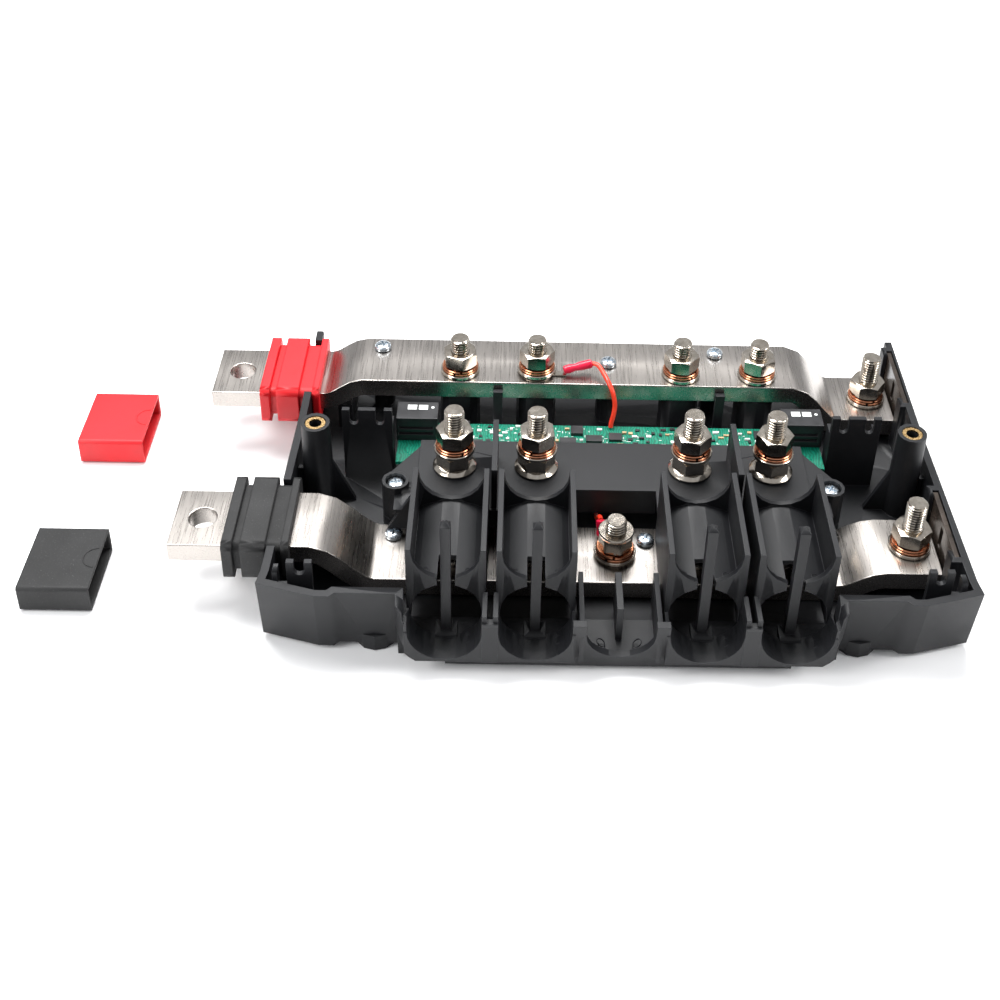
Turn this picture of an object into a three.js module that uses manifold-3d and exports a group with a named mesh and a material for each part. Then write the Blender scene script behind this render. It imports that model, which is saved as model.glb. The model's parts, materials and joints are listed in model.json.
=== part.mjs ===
// An open-topped distribution box for a battery system: two bent copper busbars in a moulded
// tray, a carrier with four fused outputs, and two rubber caps lying beside the bar ends.
// Millimetres, +X along the bars, +Y to the rear, +Z up. The origin is on the middle of the underside.
import * as THREE from "three";
import { mergeVertices } from "three/addons/utils/BufferGeometryUtils.js";
import Module from "manifold-3d";

const wasm = await Module();
wasm.setup();

// Fits
const seatGap = 0.3; // between faces that touch on the real object
const boltClearance = 0.3; // all round a stud or a screw shank
const slideGap = 0.4; // all round a plate or a rubber part in its slot

// Busbars
const barWidth = 30;
const barThickness = 8;
const sideX = 129; // outer face of both side walls
const barLeftX = -sideX - 40;
const barRightX = sideX - 4.5;
const negativeBarY = -31.5;
const leftEndTop = 28.8; // height of both bars' upper face at the left end
const raisedTop = 36.5; // of the positive bar along the fuses
const loweredTop = 12.8; // of the negative bar under the outputs
const overlapGap = 1; // between the left end of one box and the right end of the next
const positiveBendRuns = { left: [-sideX + 8, -sideX + 24], right: [barRightX - 46, barRightX - 25.5] };
const negativeBendRuns = { left: [-sideX + 13, -sideX + 37], right: [barRightX - 39.5, barRightX - 21.5] };
const linkHoleX = barLeftX + 11;
const linkHoleRadius = 5.3;

// Terminals
const boltSides = 10; // facets of a stud, its holes and a nut's bore
const washerSides = 12;
const screwSides = 8;
const studRadius = 4;
const washerRadius = 8.2;
const washerThickness = 1.6;
const springWasherRadius = 7.5;
const springWasherThickness = 2;
const nutFlats = 13;
const nutHeight = 6.5;
const flangeNutHeight = 8;
const flangeRadius = 8.75;
const flangeThickness = 1.8;
const centreNutFlats = 11.6;
const centreCollarRadius = 6.95;
const studHeadRadius = 6;
const studHeadHeight = 2.4;
const rearStudRise = 17;
const outputStudRise = 28.6;
const linkStudRise = 23;
const centreStudRise = 18.4;
const innerBayX = 30.9;
const bayPitch = 32.7;
const middleStudY = 1;
const fusePitch = 52.5; // between the two studs that one fuse bridges
const rearStudY = middleStudY + fusePitch;
const studEdgeDistance = 8.5; // from the rear studs to the positive bar's front edge
const positiveBarY = rearStudY - studEdgeDistance + barWidth / 2;
const linkStudX = barRightX - 10.3;

// Tray
const wall = 3;
const rimZ = 32.5;
const floorZ = 8; // upper face of the floor
const floorThickness = 3;
const skirtZ = 2; // lower edge of the tray's walls
const rearY = positiveBarY + barWidth / 2 + 10;
const rearWallTop = 11; // the rear is open above a low sill, behind the positive bar
const sideBendY = middleStudY + 24; // where the side walls start to widen towards the wings
const wingX = sideX + 3;
const wingSideY = -62;
const wingFrontY = -68.7;
const pilasterY = -74.6;
const pilasterOuterX = sideX - 18.5;
const pilasterInnerX = pilasterOuterX - 5.5;
const wingInnerY = -72.8;
const shroudX = 81.5;
const shroudFrontY = -82.5;
const shroudCorner = 9;
const ledgeZ = 26.5; // top of the front wall between the cable notches
const frontDraft = 0.16; // how far the front walls lean in, for each unit down
const channelFloorZ = loweredTop - barThickness - 0.5; // floor under the low stretch of the negative bar
const channelFrontY = -60.5;
const channelClearance = 0.4; // from the sloping bar down to the floor's edge
const channelSkinDepth = 2.6; // of the skin that closes the channel below
const bossRadius = 8.5; // under and around the studs
const screwBossRadius = 4.6;
const boardPostRadius = 3.5;
const carrierFoot = 13; // underside of the carrier's ears and stud bosses
const barRestDepth = 24; // of the rests under the bars' left ends
const footRadius = 8;
const padRadius = 22;
const notchRadius = 13.4;
const centreNotchRadius = 12.6;
const partition = 1.8;
const pairHalfGap = 2; // from the middle of two neighbouring cups to each partition's middle
const centrePartitionInset = 0.45;
const centrePartitionRear = -52;
const centrePartitionTop = ledgeZ - 2.5;

// Posts, combs, clips and plates
const coverPostX = sideX - 10.4;
const coverPostY = 3;
const coverPostRadius = 5.75;
const coverPostTop = 48;
const insertBore = 2.6;
const insertRecessRadius = 4.25;
const combOuterX = coverPostX - 8.7;
const combInnerX = combOuterX - 20.2;
const combY = 17.4;
const combTop = 43.5;
const combSlot = 3.5;
const combSlotDepth = 7.5;
const dividerWidth = 3.7;
const dividerDepth = 4;
const dividerTop = 62;
const dividerY = -66.1;
const plateThickness = 2;
const plateWidth = barWidth + 6;
const plateBottom = 12;
const clipX = sideX - 12.5;
const clipTop = 39.5;
const clipBottom = 18; // the clips grow out of the front wall

// Carrier of the four fused outputs
const bayWidth = 29;
const bayWall = 2;
const bayTop = 48;
const bayBackY = -22.5;
const bayFrontY = -66.5;
const tunnelRadius = 13;
const tunnelAxisZ = 18;
const tunnelRoof = 2;
const troughCrown = 26; // radius of the gently arched trough floor
const platformTop = 28.5;
const platformThickness = 3;
const platformRearY = 16.5;
const platformCentreFrontY = -12;
const skirtDepth = 12;
const earX = 86.5;
const earY = -9.2;
const earRadius = 5.4;
const earTop = 29.5;
const slotSideGap = 1.45;
const slotDepth = 13;

// Small hardware
const screwHeadRadius = 3.5;
const screwHeadHeight = 2.4;
const screwRadius = 2;
const screwLength = 10;
const carrierScrewLength = 17;
const carrierScrewSeat = 26; // floor of the recess in each ear

// Circuit board and its connectors
const boardTop = 20.5;
const boardThickness = 1.6;
const boardRearY = positiveBarY - barWidth / 2 - 8;
const boardFrontY = 12;
const boardHalfLength = 88.5;
const boardEndX = 71; // where the board narrows to pass the connectors
const connectorInnerX = 71.8;
const connectorLength = 17.2;
const connectorDepth = 11;
const connectorRearY = boardRearY - 0.8;
const connectorHeight = 11.7;

// Rubber parts
const proud = 5; // how far the grommet's ribs stand out from the bar
const grooveProud = 2.8;
const capLength = 27;
const capSideWall = 1.4;
const capFaceWall = 1.7;
const capWidth = barWidth + 2 * (seatGap + capSideWall);
const capHeight = barThickness + 2 * (seatGap + capFaceWall);
const capFloor = 2;
const redCapX = barLeftX - 55.4;
const redCapY = 31;
const blackCapX = barLeftX - 56.6;
const blackCapY = -53.5;

const rightEndTop = leftEndTop - barThickness - overlapGap;
const bayCentres = [-innerBayX - bayPitch, -innerBayX, innerBayX, innerBayX + bayPitch];
const studBore = studRadius + boltClearance;
const screwBore = screwRadius + boltClearance;

// Geometry helpers. Every shape is made by a three.js class and placed in the object's own frame.
function asSolid(geometry) {
  const bare = geometry.index ? geometry.toNonIndexed() : geometry.clone();
  bare.deleteAttribute("normal");
  bare.deleteAttribute("uv");
  const merged = mergeVertices(bare, 1e-4);
  return new wasm.Manifold(
    new wasm.Mesh({
      numProp: 3,
      vertProperties: merged.attributes.position.array,
      triVerts: new Uint32Array(merged.index.array),
    }),
  );
}

function asGeometry(manifold) {
  const mesh = manifold.getMesh();
  const geometry = new THREE.BufferGeometry();
  geometry.setAttribute("position", new THREE.BufferAttribute(mesh.vertProperties, 3));
  geometry.setIndex(new THREE.BufferAttribute(mesh.triVerts, 1));
  geometry.computeVertexNormals();
  return geometry;
}

function join(...solids) {
  return solids.flat(3).reduce((whole, next) => whole.add(next));
}

function cut(body, ...tools) {
  return tools.flat(3).reduce((left, tool) => left.subtract(tool), body);
}

function box(x0, x1, y0, y1, z0, z1) {
  const geometry = new THREE.BoxGeometry(x1 - x0, y1 - y0, z1 - z0);
  geometry.translate((x0 + x1) / 2, (y0 + y1) / 2, (z0 + z1) / 2);
  return asSolid(geometry);
}

// An upright round bar, wider or narrower at its foot when lowerRadius is given.
function rod(x, y, radius, z0, z1, sides = 12, lowerRadius = radius) {
  const geometry = new THREE.CylinderGeometry(radius, lowerRadius, z1 - z0, sides);
  geometry.rotateX(Math.PI / 2);
  geometry.translate(x, y, (z0 + z1) / 2);
  return asSolid(geometry);
}

// A round bar along Y.
function barrel(x, z, radius, y0, y1, sides = 20) {
  const geometry = new THREE.CylinderGeometry(radius, radius, y1 - y0, sides);
  geometry.translate(x, (y0 + y1) / 2, z);
  return asSolid(geometry);
}

function shapeOf(points) {
  return new THREE.Shape(points.map(([a, b]) => new THREE.Vector2(a, b)));
}

// An outline in X and Y, raised from z0 to z1.
function prismGeometry(points, z0, z1) {
  const geometry = new THREE.ExtrudeGeometry(shapeOf(points), { depth: z1 - z0, bevelEnabled: false });
  geometry.translate(0, 0, z0);
  return geometry;
}

function prism(points, z0, z1) {
  return asSolid(prismGeometry(points, z0, z1));
}

// An outline in X and Z, carried from y0 to y1.
function slab(points, y0, y1) {
  const geometry = new THREE.ExtrudeGeometry(shapeOf(points), { depth: y1 - y0, bevelEnabled: false });
  geometry.rotateX(Math.PI / 2);
  geometry.translate(0, y1, 0);
  return asSolid(geometry);
}

// An outline in Y and Z, carried from x0 to x1.
function rail(points, x0, x1) {
  const turned = points.map(([y, z]) => [-z, y]);
  const geometry = new THREE.ExtrudeGeometry(shapeOf(turned), { depth: x1 - x0, bevelEnabled: false });
  geometry.rotateY(Math.PI / 2);
  geometry.translate(x0, 0, 0);
  return asSolid(geometry);
}

function roundedRectangle(y0, y1, z0, z1, radius, steps = 4) {
  const points = [];
  const corners = [
    [y1 - radius, z1 - radius, 0],
    [y0 + radius, z1 - radius, 1],
    [y0 + radius, z0 + radius, 2],
    [y1 - radius, z0 + radius, 3],
  ];
  for (const [y, z, quarter] of corners) {
    for (let step = 0; step <= steps; step += 1) {
      const angle = ((quarter + step / steps) * Math.PI) / 2;
      points.push([y + radius * Math.cos(angle), z + radius * Math.sin(angle)]);
    }
  }
  return points;
}

// An outline moved inwards by a wall, corner by corner. The outline runs anticlockwise.
function inset(points, distance) {
  return points.map((point, index) => {
    const before = new THREE.Vector2(...points[(index + points.length - 1) % points.length]);
    const here = new THREE.Vector2(...point);
    const after = new THREE.Vector2(...points[(index + 1) % points.length]);
    const arriving = here.clone().sub(before).normalize();
    const leaving = after.clone().sub(here).normalize();
    const normal = new THREE.Vector2(-arriving.y - leaving.y, arriving.x + leaving.x).normalize();
    const reach = distance / Math.max(0.3, normal.dot(new THREE.Vector2(-arriving.y, arriving.x)));
    return [here.x + normal.x * reach, here.y + normal.y * reach];
  });
}

// The front walls lean in towards the floor, so their lower points move to the rear.
function leanFront(geometry) {
  const place = geometry.attributes.position;
  for (let index = 0; index < place.count; index += 1) {
    if (place.getY(index) < wingSideY + wall) {
      place.setY(index, place.getY(index) + (rimZ - place.getZ(index)) * frontDraft);
    }
  }
  return asSolid(geometry);
}

const object = new THREE.Group();

function finish(colour, roughness, metalness = 0) {
  return { colour, roughness, metalness };
}

const blackPlastic = finish(0x2b2d31, 0.5);
const tinnedCopper = finish(0xa9a39b, 0.35, 0.9);
const nickel = finish(0xb8afa2, 0.28, 0.95);
const copperWasher = finish(0xb9704f, 0.35, 0.9);
const zinc = finish(0xb9c4cc, 0.3, 0.9);
const redRubber = finish(0xe01f2a, 0.6);
const blackRubber = finish(0x1b1b1c, 0.75);
const boardGreen = finish(0x0a7a58, 0.45);
const wireRed = finish(0xe2412c, 0.5);
const plateGrey = finish(0x3a3430, 0.3);

function place(name, manifold, look) {
  const material = new THREE.MeshStandardMaterial({
    color: look.colour,
    roughness: look.roughness,
    metalness: look.metalness,
  });
  const mesh = new THREE.Mesh(asGeometry(manifold), material);
  mesh.name = name;
  object.add(mesh);
}

// Busbars: a flat strip whose side view steps between levels in smooth bends.
function barOutline(stations) {
  const upper = [];
  const lower = [];
  const steps = 5;
  const half = barThickness / 2;
  function addPoint(x, z, slope) {
    const length = Math.hypot(1, slope);
    upper.push([x - (slope / length) * half, z - half + half / length]);
    lower.push([x + (slope / length) * half, z - half - half / length]);
  }
  addPoint(barLeftX, stations[0].from, 0);
  for (const { run, from, to } of stations) {
    for (let step = 0; step <= steps; step += 1) {
      const t = step / steps;
      const rise = to - from;
      const slope = (rise * 6 * t * (1 - t)) / (run[1] - run[0]);
      addPoint(run[0] + t * (run[1] - run[0]), from + rise * t * t * (3 - 2 * t), slope);
    }
  }
  addPoint(barRightX, stations[stations.length - 1].to, 0);
  return [...lower, ...upper.reverse()];
}

// Where a bar's underside comes down through a level, along a bend that falls to the right.
function undersideMeets(run, from, to, level) {
  const half = barThickness / 2;
  const steps = 400;
  for (let step = 0; step <= steps; step += 1) {
    const t = step / steps;
    const slope = ((to - from) * 6 * t * (1 - t)) / (run[1] - run[0]);
    const length = Math.hypot(1, slope);
    const under = from + (to - from) * t * t * (3 - 2 * t) - half - half / length;
    if (under <= level) return run[0] + t * (run[1] - run[0]) + (slope / length) * half;
  }
  return run[1];
}

function studSeat(x, y, top) {
  const under = top - barThickness;
  return [
    rod(x, y, studBore, under - 1, top + 1, boltSides),
    rod(x, y, studHeadRadius + boltClearance, under - 1, under + studHeadHeight + seatGap),
  ];
}

const positiveScrews = [
  [positiveBendRuns.left[1] + 7.1, positiveBarY + barWidth / 2 - 7.3],
  [0, positiveBarY - 0.8],
  [46.9, positiveBarY + barWidth / 2 - 7.9],
];
const negativeScrews = [
  [negativeBendRuns.left[1] + 5.5, negativeBarY + barWidth / 2 - 6.4],
  [12.4, negativeBarY + barWidth / 2 - 7.8],
];

function positiveBusbar() {
  const outline = barOutline([
    { run: positiveBendRuns.left, from: leftEndTop, to: raisedTop },
    { run: positiveBendRuns.right, from: raisedTop, to: rightEndTop },
  ]);
  const strip = slab(outline, positiveBarY - barWidth / 2, positiveBarY + barWidth / 2);
  return cut(
    strip,
    rod(linkHoleX, positiveBarY, linkHoleRadius, 0, 60, 20),
    bayCentres.map((x) => studSeat(x, rearStudY, raisedTop)),
    studSeat(linkStudX, positiveBarY, rightEndTop),
    positiveScrews.map(([x, y]) => rod(x, y, screwBore, 0, 60, screwSides)),
  );
}

function negativeBusbar() {
  const outline = barOutline([
    { run: negativeBendRuns.left, from: leftEndTop, to: loweredTop },
    { run: negativeBendRuns.right, from: loweredTop, to: rightEndTop },
  ]);
  const strip = slab(outline, negativeBarY - barWidth / 2, negativeBarY + barWidth / 2);
  return cut(
    strip,
    rod(linkHoleX, negativeBarY, linkHoleRadius, 0, 60, 20),
    [0, ...bayCentres].map((x) => studSeat(x, negativeBarY, loweredTop)),
    studSeat(linkStudX, negativeBarY, rightEndTop),
    negativeScrews.map(([x, y]) => rod(x, y, screwBore, 0, 60, screwSides)),
  );
}

// Tray
function trayOutline() {
  const half = [
    [sideX, rearY],
    [sideX, sideBendY],
    [wingX - 1, wingSideY],
    [wingX, wingFrontY],
    [pilasterOuterX, pilasterY],
    [pilasterInnerX, pilasterY],
    [pilasterInnerX - 1.8, wingInnerY],
    [shroudX, wingInnerY],
    [shroudX - 0.5, shroudFrontY + shroudCorner * 0.45],
    [shroudX - shroudCorner * 0.4, shroudFrontY],
  ];
  const right = half;
  const left = half.map(([x, y]) => [-x, y]).reverse();
  return [...right, ...left].reverse();
}

function frontNotch(x, radius) {
  return [
    barrel(x, floorZ + radius, radius, shroudFrontY - 2, shroudFrontY + 12),
    box(x - radius, x + radius, shroudFrontY - 2, shroudFrontY + 12, floorZ + radius, rimZ + 1),
  ];
}

function coverPost(side) {
  const x = side * coverPostX;
  const inner = side * (coverPostX - coverPostRadius + 1);
  const gusset = [
    [inner, floorZ - 1],
    [side * (coverPostX - 14.5), floorZ - 1],
    [side * (coverPostX - 14.5), floorZ + 0.6],
    [inner, 31],
  ];
  const web = Math.min(x, side * sideX);
  return join(
    rod(x, coverPostY, coverPostRadius, floorZ - 1, coverPostTop, 16, coverPostRadius + 0.7),
    slab(gusset, coverPostY - 1, coverPostY + 1),
    box(web, web + sideX - coverPostX, coverPostY - 1, coverPostY + 1, floorZ - 1, 25),
  );
}

function coverPostBore(side) {
  const x = side * coverPostX;
  return [
    rod(x, coverPostY, insertBore, coverPostTop - 16, coverPostTop + 1, 12),
    rod(x, coverPostY, insertRecessRadius, coverPostTop - 1.2, coverPostTop + 1, 16),
  ];
}

function comb(side) {
  const x0 = Math.min(side * combInnerX, side * combOuterX);
  const x1 = Math.max(side * combInnerX, side * combOuterX);
  const plate = join(
    box(x0, x1, combY - 1, combY + 1, floorZ - 1, combTop),
    box(x0, x0 + 1.8, combY - 1, combY + 7, floorZ - 1, combTop - 9),
    box(x1 - 1.8, x1, combY - 1, combY + 7, floorZ - 1, combTop - 9),
  );
  const slots = [5, combOuterX - combInnerX - 4.7].map((offset) => {
    const x = side * (combInnerX + offset);
    const bottom = combTop - combSlotDepth + combSlot / 2;
    return [
      box(x - combSlot / 2, x + combSlot / 2, combY - 2, combY + 2, bottom, combTop + 1),
      barrel(x, bottom, combSlot / 2, combY - 2, combY + 2, 12),
    ];
  });
  return cut(plate, slots.flat());
}

// A two-pronged clip on the front rim, with a slanted tab beside it.
function frontClip(side) {
  const x = side * clipX;
  const y = wingFrontY + wall + 1.4;
  const prongs = join(
    box(x - 4.6, x + 4.6, y - 1, y + 1, clipBottom, clipTop - 3),
    box(x - 4.6, x - 1.9, y - 1, y + 1, clipTop - 4, clipTop),
    box(x + 1.9, x + 4.6, y - 1, y + 1, clipTop - 4, clipTop),
  );
  const notch = join(
    box(x - 1.9, x + 1.9, y - 2, y + 2, clipTop - 4.2, clipTop + 1),
    barrel(x, clipTop - 4.2, 1.9, y - 2, y + 2, 12),
  );
  const tabX = side * (wingX - wall - 3.6);
  const tab = box(tabX - 0.9, tabX + 0.9, y - 1.5, y + 3, clipBottom, rimZ + 2.5);
  const webX0 = Math.min(x, tabX);
  const web = box(webX0, webX0 + Math.abs(tabX - x), y - 0.8, y + 0.8, clipBottom, rimZ - 4);
  return join(cut(prongs, notch), tab, web);
}

function cableDivider(x) {
  const shaft = box(
    x - dividerWidth / 2,
    x + dividerWidth / 2,
    dividerY - dividerDepth / 2,
    dividerY + dividerDepth / 2,
    floorZ - 1,
    dividerTop - 2,
  );
  const tip = new THREE.CylinderGeometry(0.4, dividerWidth / Math.SQRT2, 2, 4);
  tip.rotateY(Math.PI / 4);
  tip.rotateX(Math.PI / 2);
  tip.translate(x, dividerY, dividerTop - 1.01);
  const foot = box(x - 4, x + 4, dividerY - 4.5, dividerY + 3, floorZ - 1, floorZ + 1.6);
  return join(shaft, asSolid(tip), foot);
}

// Upright that holds the positive bar's front edge between two outputs.
function barKeeper(x) {
  const front = positiveBarY - barWidth / 2 - slideGap;
  return box(x - 2, x + 2, front - 2.4, front, floorZ - 1, raisedTop - 3);
}

function plateFrame(y) {
  const outer = plateWidth / 2 + 3;
  const lip = 3; // how far the wall overlaps the plate all round
  const plateX = sideX - wall - slideGap;
  const reach = outer - 2 * lip;
  const opening = box(plateX, sideX + 4, y - reach, y + reach, plateBottom + lip, rimZ - 5);
  const frame = join(
    box(sideX - wall - 2.4, sideX - 1, y - outer, y - outer + 2 * lip, floorZ - 1, rimZ),
    box(sideX - wall - 2.4, sideX - 1, y + outer - 2 * lip, y + outer, floorZ - 1, rimZ),
  );
  const slot = box(
    plateX - 0.2,
    plateX + plateThickness + slideGap,
    y - plateWidth / 2 - slideGap,
    y + plateWidth / 2 + slideGap,
    plateBottom - slideGap,
    rimZ + 1,
  );
  return { opening, frame, slot };
}

function grommetSlot(y) {
  const halfWidth = barWidth / 2 + grooveProud + slideGap;
  const bottom = leftEndTop - barThickness - grooveProud - slideGap;
  return box(-sideX - 5, -sideX + wall + 2, y - halfWidth, y + halfWidth, bottom, rimZ + 1);
}

// A half-round cup behind each cable notch, whose outer corners the tray's lower corners follow.
function cableCup(x) {
  const half = bayPitch / 2 - partition;
  const axisZ = floorZ + notchRadius;
  const y0 = shroudFrontY + 1.5;
  const y1 = bayFrontY - 2.5;
  const block = box(x - half, x + half, y0, y1, floorZ - 1, axisZ);
  return cut(block, barrel(x, axisZ, notchRadius, y0 - 1, y1 + 1, 28));
}

function shroudLowerCorner(side) {
  const x = side * (innerBayX + bayPitch);
  const axisZ = floorZ + notchRadius;
  const radius = shroudX - innerBayX - bayPitch;
  const outer = side * (shroudX + 3);
  const y1 = wingInnerY - 0.3;
  const corner = box(Math.min(x, outer), Math.max(x, outer), shroudFrontY - 3, y1, skirtZ - 3, axisZ);
  return cut(corner, barrel(x, axisZ, radius, shroudFrontY - 4, y1 + 1, 32));
}

// A block that the left end of a bar rests on, from x0 on.
function barRest(x0, length, y) {
  const half = barRestDepth / 2;
  return box(x0, x0 + length, y - half, y + half, floorZ - 1, leftEndTop - barThickness - seatGap);
}

function baseTray() {
  const outline = trayOutline();
  const shell = leanFront(prismGeometry(outline, skirtZ, rimZ));
  const hollow = leanFront(prismGeometry(inset(outline, wall), floorZ, rimZ + 1));
  const under = leanFront(prismGeometry(inset(outline, wall), skirtZ - 1, floorZ - floorThickness));
  const ledgeCut = box(-shroudX + wall, shroudX - wall, shroudFrontY - 3, shroudFrontY + 7, ledgeZ, rimZ + 1);
  const partitionRear = shroudFrontY + 14;
  const partitions = [];
  for (const side of [-1, 1]) {
    for (const offset of [-pairHalfGap, pairHalfGap]) {
      const x = side * (innerBayX + bayPitch / 2) + offset;
      const x0 = x - partition / 2;
      partitions.push(box(x0, x0 + partition, shroudFrontY + 2, partitionRear, floorZ - 1, ledgeZ + 3));
    }
    const x0 = side * (innerBayX - bayPitch / 2 - centrePartitionInset) - partition / 2;
    const y0 = shroudFrontY + 2;
    partitions.push(box(x0, x0 + partition, y0, centrePartitionRear, floorZ - 1, centrePartitionTop));
  }
  const centreFin = box(-1.2, 1.2, shroudFrontY + 10.5, centrePartitionRear, floorZ - 1, centrePartitionTop);
  const bridges = [-1, 1].map((side) => {
    const x = side * (innerBayX + bayPitch / 2);
    const half = pairHalfGap + partition / 2;
    return box(x - half, x + half, shroudFrontY + 1.2, shroudFrontY + 4, floorZ - 1, ledgeZ);
  });
  const raisedUnder = raisedTop - barThickness - seatGap;
  const rightUnder = rightEndTop - barThickness - seatGap;
  const boardUnder = boardTop - boardThickness - seatGap;
  const boardPostY = boardRearY - 6;
  const bosses = [
    ...bayCentres.map((x) => rod(x, rearStudY, bossRadius, floorZ - 1, raisedUnder)),
    ...positiveScrews.map(([x, y]) => rod(x, y, screwBossRadius, floorZ - 1, raisedUnder)),
    rod(linkStudX, positiveBarY, bossRadius, floorZ - 1, rightUnder),
    rod(linkStudX, negativeBarY, bossRadius, floorZ - 1, rightUnder),
    barRest(positiveBendRuns.left[0] + 5, 6, positiveBarY),
    barRest(-sideX + 7, 4, negativeBarY),
    ...[-1, 1].map((side) => rod(side * earX, earY, earRadius, floorZ - 1, carrierFoot)),
    ...[-78, -22, 22, 78].map((x) => rod(x, boardPostY, boardPostRadius, floorZ - 1, boardUnder, 10)),
  ];
  const feet = [];
  const footInset = wall + footRadius + 2;
  for (const side of [-1, 1]) {
    feet.push(rod(side * (shroudX + footRadius + 0.5), wingSideY, footRadius, 0, floorZ - 1));
    feet.push(rod(side * (sideX - footInset), rearY - footInset, footRadius, 0, floorZ - 1));
  }
  feet.push(rod(0, 0, padRadius, 0, floorZ - 1, 20));
  const channelLevel = floorZ + channelClearance;
  const channelEnd = -undersideMeets(negativeBendRuns.left, leftEndTop, loweredTop, channelLevel);
  const channelRearY = negativeBarY + barWidth / 2 + 2;
  const skinEnd = channelEnd + wall;
  const skinZ = channelFloorZ - channelSkinDepth;
  const channel = box(-channelEnd, channelEnd, channelFrontY, channelRearY, channelFloorZ, floorZ + 0.01);
  const channelSkin = box(-skinEnd, skinEnd, channelFrontY - wall, channelRearY + wall, skinZ, floorZ - 1);
  const rightPlates = [positiveBarY, negativeBarY].map(plateFrame);
  const sill = box(-sideX + wall, sideX - wall, rearY - wall - 1, rearY + 1, rearWallTop, rimZ + 1);
  let tray = cut(shell, hollow, under, ledgeCut, sill);
  tray = join(tray, bayCentres.map(cableCup), partitions, centreFin, bridges, bosses, feet, channelSkin);
  tray = join(tray, coverPost(-1), coverPost(1), comb(-1), comb(1), frontClip(-1), frontClip(1));
  tray = join(tray, barKeeper(-innerBayX - bayPitch / 2), barKeeper(innerBayX + bayPitch / 2));
  tray = join(tray, rightPlates.map((part) => part.frame));
  tray = cut(tray, channel, coverPostBore(-1), coverPostBore(1));
  tray = cut(tray, bayCentres.map((x) => frontNotch(x, notchRadius)), frontNotch(0, centreNotchRadius));
  tray = cut(tray, rightPlates.map((part) => [part.opening, part.slot]).flat());
  tray = cut(tray, [positiveBarY, negativeBarY].map(grommetSlot));
  tray = cut(
    tray,
    positiveScrews.map(([x, y]) => rod(x, y, screwBore, raisedTop - screwLength - 4, raisedTop, screwSides)),
    negativeScrews.map(([x, y]) => rod(x, y, screwBore, 0, loweredTop, screwSides)),
    [-1, 1].map((side) => rod(side * earX, earY, screwBore, floorZ, carrierFoot + 1, screwSides)),
  );
  tray = cut(tray, shroudLowerCorner(-1), shroudLowerCorner(1));
  return join(tray, bayCentres.map(cableDivider));
}

// Carrier
function bay(x) {
  const half = bayWidth / 2;
  const inner = half - bayWall;
  const bottom = loweredTop + seatGap + 0.2;
  const shell = box(x - half, x + half, bayFrontY, bayBackY, bottom, bayTop);
  const roofTop = tunnelAxisZ + tunnelRadius + tunnelRoof;
  const roof = barrel(x, roofTop - troughCrown, troughCrown, bayFrontY - 1, bayBackY + 1, 48);
  const trough = cut(
    box(x - inner, x + inner, bayFrontY + bayWall, bayBackY - bayWall, tunnelAxisZ, bayTop + 1),
    roof,
  );
  const saddleZ = tunnelAxisZ + tunnelRadius + tunnelRoof + 0.8 + inner;
  const saddles = [
    barrel(x, saddleZ, inner, bayFrontY - 1, bayBackY + 1),
    box(x - inner, x + inner, bayFrontY - 1, bayBackY + 1, saddleZ, bayTop + 1),
  ];
  const tunnel = [
    barrel(x, tunnelAxisZ, tunnelRadius, bayFrontY - 1, bayBackY + 1),
    box(x - tunnelRadius, x + tunnelRadius, bayFrontY - 1, bayBackY + 1, bottom - 1, tunnelAxisZ),
  ];
  const slotHalf = dividerWidth / 2 + slotSideGap;
  const slotTop = saddleZ - inner + 4;
  const slot = box(x - slotHalf, x + slotHalf, bayFrontY - 1, bayFrontY + slotDepth, tunnelAxisZ, slotTop);
  return cut(shell, trough, saddles, tunnel, slot);
}

function ear(side) {
  const x = side * earX;
  const bayEdge = side * (innerBayX + bayPitch + bayWidth / 2 - 0.5);
  const webX0 = Math.min(bayEdge, x);
  const webX1 = Math.max(bayEdge, x);
  const outline = [
    [side * 77.5, platformRearY],
    [side * 90, -2],
    [side * 90, earY],
    [side * 77.5, -15],
  ];
  const gussetFoot = loweredTop + seatGap + screwHeadHeight + 0.6;
  const gusset = [
    [bayEdge, 36],
    [bayEdge, gussetFoot],
    [side * 89, gussetFoot],
  ];
  return join(
    rod(x, earY, earRadius, carrierFoot + seatGap, earTop),
    box(webX0, webX1, earY - 1, earY + 1, 15, platformTop - 2),
    prism(side > 0 ? outline.slice().reverse() : outline, platformTop - 4.4, platformTop - 2.4),
    slab(side > 0 ? gusset : gusset.slice().reverse(), bayBackY, bayBackY + 2),
    box(webX0, webX1 - 1, bayBackY, earY + 1, platformTop - 4.4, platformTop - 2.4),
  );
}

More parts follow.
